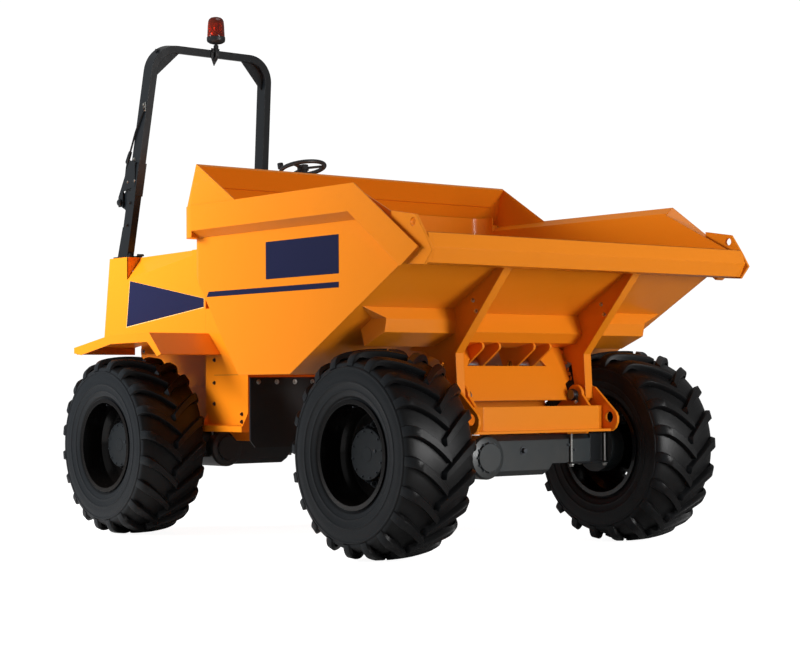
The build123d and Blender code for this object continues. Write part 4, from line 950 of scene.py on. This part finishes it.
def swell(cushion, pressure, most):
    """Blow a cushion up a little as cloth and keep the result, no point moving more than most."""
    remesh = cushion.modifiers.new("voxels", "REMESH")
    remesh.mode = "VOXEL"
    remesh.voxel_size = 0.006
    apply_modifiers(cushion)
    start = vertex_places(cushion)
    cloth = cushion.modifiers.new("cloth", "CLOTH")
    cloth.settings.use_pressure = True
    cloth.settings.uniform_pressure_force = pressure
    cloth.settings.quality = 5
    cloth.settings.effector_weights.gravity = 0
    cloth.point_cache.frame_start, cloth.point_cache.frame_end = 1, 20
    for step in range(1, 21):
        bpy.context.scene.frame_set(step)
    apply_modifiers(cushion)
    bpy.context.scene.frame_set(1)
    moved = vertex_places(cushion) - start
    far = np.maximum(np.linalg.norm(moved, axis=1, keepdims=True), 1e-9)
    set_places(cushion, start + moved / far * np.minimum(far, most))
    return cushion


def apply_modifiers(obj):
    """Replace an object's mesh by what its modifiers make of it now."""
    bpy.context.view_layer.update()
    made = bpy.data.meshes.new_from_object(obj.evaluated_get(bpy.context.evaluated_depsgraph_get()))
    obj.modifiers.clear()
    obj.data = made


def vertex_places(obj):
    """Places of a mesh's corner points as one array."""
    flat = np.empty(len(obj.data.vertices) * 3)
    obj.data.vertices.foreach_get("co", flat)
    return flat.reshape(-1, 3)


def set_places(obj, places):
    """Put a mesh's corner points at the rows of an array."""
    obj.data.vertices.foreach_set("co", np.asarray(places).ravel())
    obj.data.update()


def channels(places, along, pitch, depth, face):
    """Sewn channels: sink the face that looks up or ahead by a narrow cosine at every pitch."""
    phase = (places[:, along] / pitch) % 1.0
    groove = np.exp(-((np.minimum(phase, 1 - phase) * pitch / 0.007) ** 2))
    sunk = places.copy()
    top = np.clip((places[:, face] - places[:, face].min()) / np.ptp(places[:, face]) * 4 - 3, 0, 1)
    sunk[:, face] -= depth * groove * top
    return sunk


def seat_cushion(name, half, corner, along, pitch, turn, centre):
    """One padded cushion made flat at the origin, sewn, then tilted and put in its place."""
    cushion = swell(soft_block(half, corner).make(name), 4.0, 0.010)
    places = channels(vertex_places(cushion), along, pitch, 0.007, 2)
    spin = np.array(Matrix.Rotation(math.radians(turn), 3, "Y"))
    set_places(cushion, places @ spin.T + np.asarray(centre) + mid)
    smooth = cushion.modifiers.new("smooth", "SUBSURF")
    smooth.levels = smooth.render_levels = 1
    cushion.data.shade_smooth()
    dress(cushion, "rear_frame", "seat_cover")
    return cushion


def seat():
    """Pan and back cushions on a moulded black shell, with a ribbed gaiter under the pan."""
    pan = seat_cushion("seat_pan", np.array((0.205, 0.222, 0.030)), 0.026, 1, 0.085, 0, (-1.318, 0, 1.947))
    seat_cushion("seat_back", np.array((0.205, 0.212, 0.026)), 0.024, 1, 0.085, 98, (-1.560, 0, 2.190))
    shell = Pieces(mid)
    bellows = [(0.150 + 0.012 * (row % 2), 0.004 * row) for row in range(11)]
    shell.add_turned((-1.330, 0, 1.860), UP, bellows, 4, math.pi / 4)
    shell.add_plate(on_top(box_outline(-1.330, 0, 0.215, 0.215, 0.030), 1.904), UP, 0.012, 0.004)
    made = shell.make("seat_shell", 35)
    dress(made, "rear_frame", "black_plastic")
    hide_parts("seat")


seat()


# ---------------------------------------------------------------- stage
def look_from(place, yaw, pitch, roll):
    """Turn that aims a camera: yaw about the upright from +Y, pitch up, roll about the view."""
    yaw, pitch, roll = (math.radians(a) for a in (yaw, pitch, roll))
    ahead = Vector((-math.sin(yaw) * math.cos(pitch), math.cos(yaw) * math.cos(pitch), math.sin(pitch)))
    right = Vector((math.cos(yaw), math.sin(yaw), 0))
    up = right.cross(ahead)
    tilted_right = right * math.cos(roll) + up * math.sin(roll)
    tilted_up = up * math.cos(roll) - right * math.sin(roll)
    turn = Matrix((tilted_right, tilted_up, -ahead)).transposed()
    return Matrix.Translation(place) @ turn.to_4x4()


def add_camera():
    """Long lens from ahead and to the right, a little under a metre above the ground."""
    lens = bpy.data.cameras.new("view")
    lens.lens = 84.78
    lens.sensor_width = 36
    lens.clip_end = 100
    camera = bpy.data.objects.new("view", lens)
    camera.matrix_world = look_from((9.549, -7.398, 0.954), 50.99, 1.698, -0.384)
    bpy.context.scene.collection.objects.link(camera)
    bpy.context.scene.camera = camera


def add_lamp(name, place, aim, size, power, mirrored=True):
    """A square soft lamp at a place, turned to a point, and seen in glossy surfaces or not."""
    light = bpy.data.lights.new(name, "AREA")
    light.size = size
    light.energy = power
    lamp = bpy.data.objects.new(name, light)
    lamp.location = place
    lamp.visible_glossy = mirrored
    lamp.rotation_euler = (Vector(aim) - Vector(place)).to_track_quat("-Z", "Y").to_euler()
    bpy.context.scene.collection.objects.link(lamp)


def add_floor():
    """Pale floor that glows nearly white to the camera, so the machine's shadow is only a trace."""
    size = 60.0
    floor = finish_mesh("floor", [(-size, -size, 0), (size, -size, 0), (size, size, 0), (-size, size, 0)],
                        [(0, 1, 2, 3)])
    made, tree, shader = material("floor_white")
    shader.inputs["Base Color"].default_value = (0.42, 0.42, 0.42, 1)
    shader.inputs["Roughness"].default_value = 0.9
    ray = add_node(tree, "ShaderNodeLightPath")
    lift = add_node(tree, "ShaderNodeEmission")
    lift.inputs["Color"].default_value = (1, 1, 1, 1)
    lift.inputs["Strength"].default_value = 0.93
    both = add_node(tree, "ShaderNodeAddShader")
    pick = add_node(tree, "ShaderNodeMixShader")
    link = tree.links.new
    link(shader.outputs[0], both.inputs[0])
    link(lift.outputs[0], both.inputs[1])
    link(ray.outputs["Is Camera Ray"], pick.inputs[0])
    link(shader.outputs[0], pick.inputs[1])
    link(both.outputs[0], pick.inputs[2])
    link(pick.outputs[0], tree.nodes["Material Output"].inputs["Surface"])
    floor.data.materials.append(made)


def add_world():
    """Even pale surround, white where the camera sees it."""
    world = bpy.data.worlds.new("surround")
    world.use_nodes = True
    tree = world.node_tree
    shown = tree.nodes["Background"]
    shown.inputs["Color"].default_value = (1, 1, 1, 1)
    shown.inputs["Strength"].default_value = 0.22
    white = add_node(tree, "ShaderNodeBackground")
    white.inputs["Color"].default_value = (1, 1, 1, 1)
    white.inputs["Strength"].default_value = 1.05
    ray = add_node(tree, "ShaderNodeLightPath")
    pick = add_node(tree, "ShaderNodeMixShader")
    link = tree.links.new
    link(ray.outputs["Is Camera Ray"], pick.inputs[0])
    link(shown.outputs[0], pick.inputs[1])
    link(white.outputs[0], pick.inputs[2])
    link(pick.outputs[0], tree.nodes["World Output"].inputs["Surface"])
    bpy.context.scene.world = world


add_camera()
add_world()
add_floor()
add_lamp("key", (-3.2, -6.0, 3.4), (-0.2, -0.6, 1.5), 2.5, 435, mirrored=False)
add_lamp("rear", (-3.2, -3.4, 3.2), (-0.3, -1.0, 2.0), 1.2, 190, mirrored=False)
add_lamp("front", (9.5, 1.8, 1.7), (1.0, 0, 0.9), 2.5, 485)
add_lamp("top", (1.0, 0.5, 8.0), (0.5, 0, 1.0), 4.0, 90)
bpy.context.scene.view_settings.view_transform = "Standard"
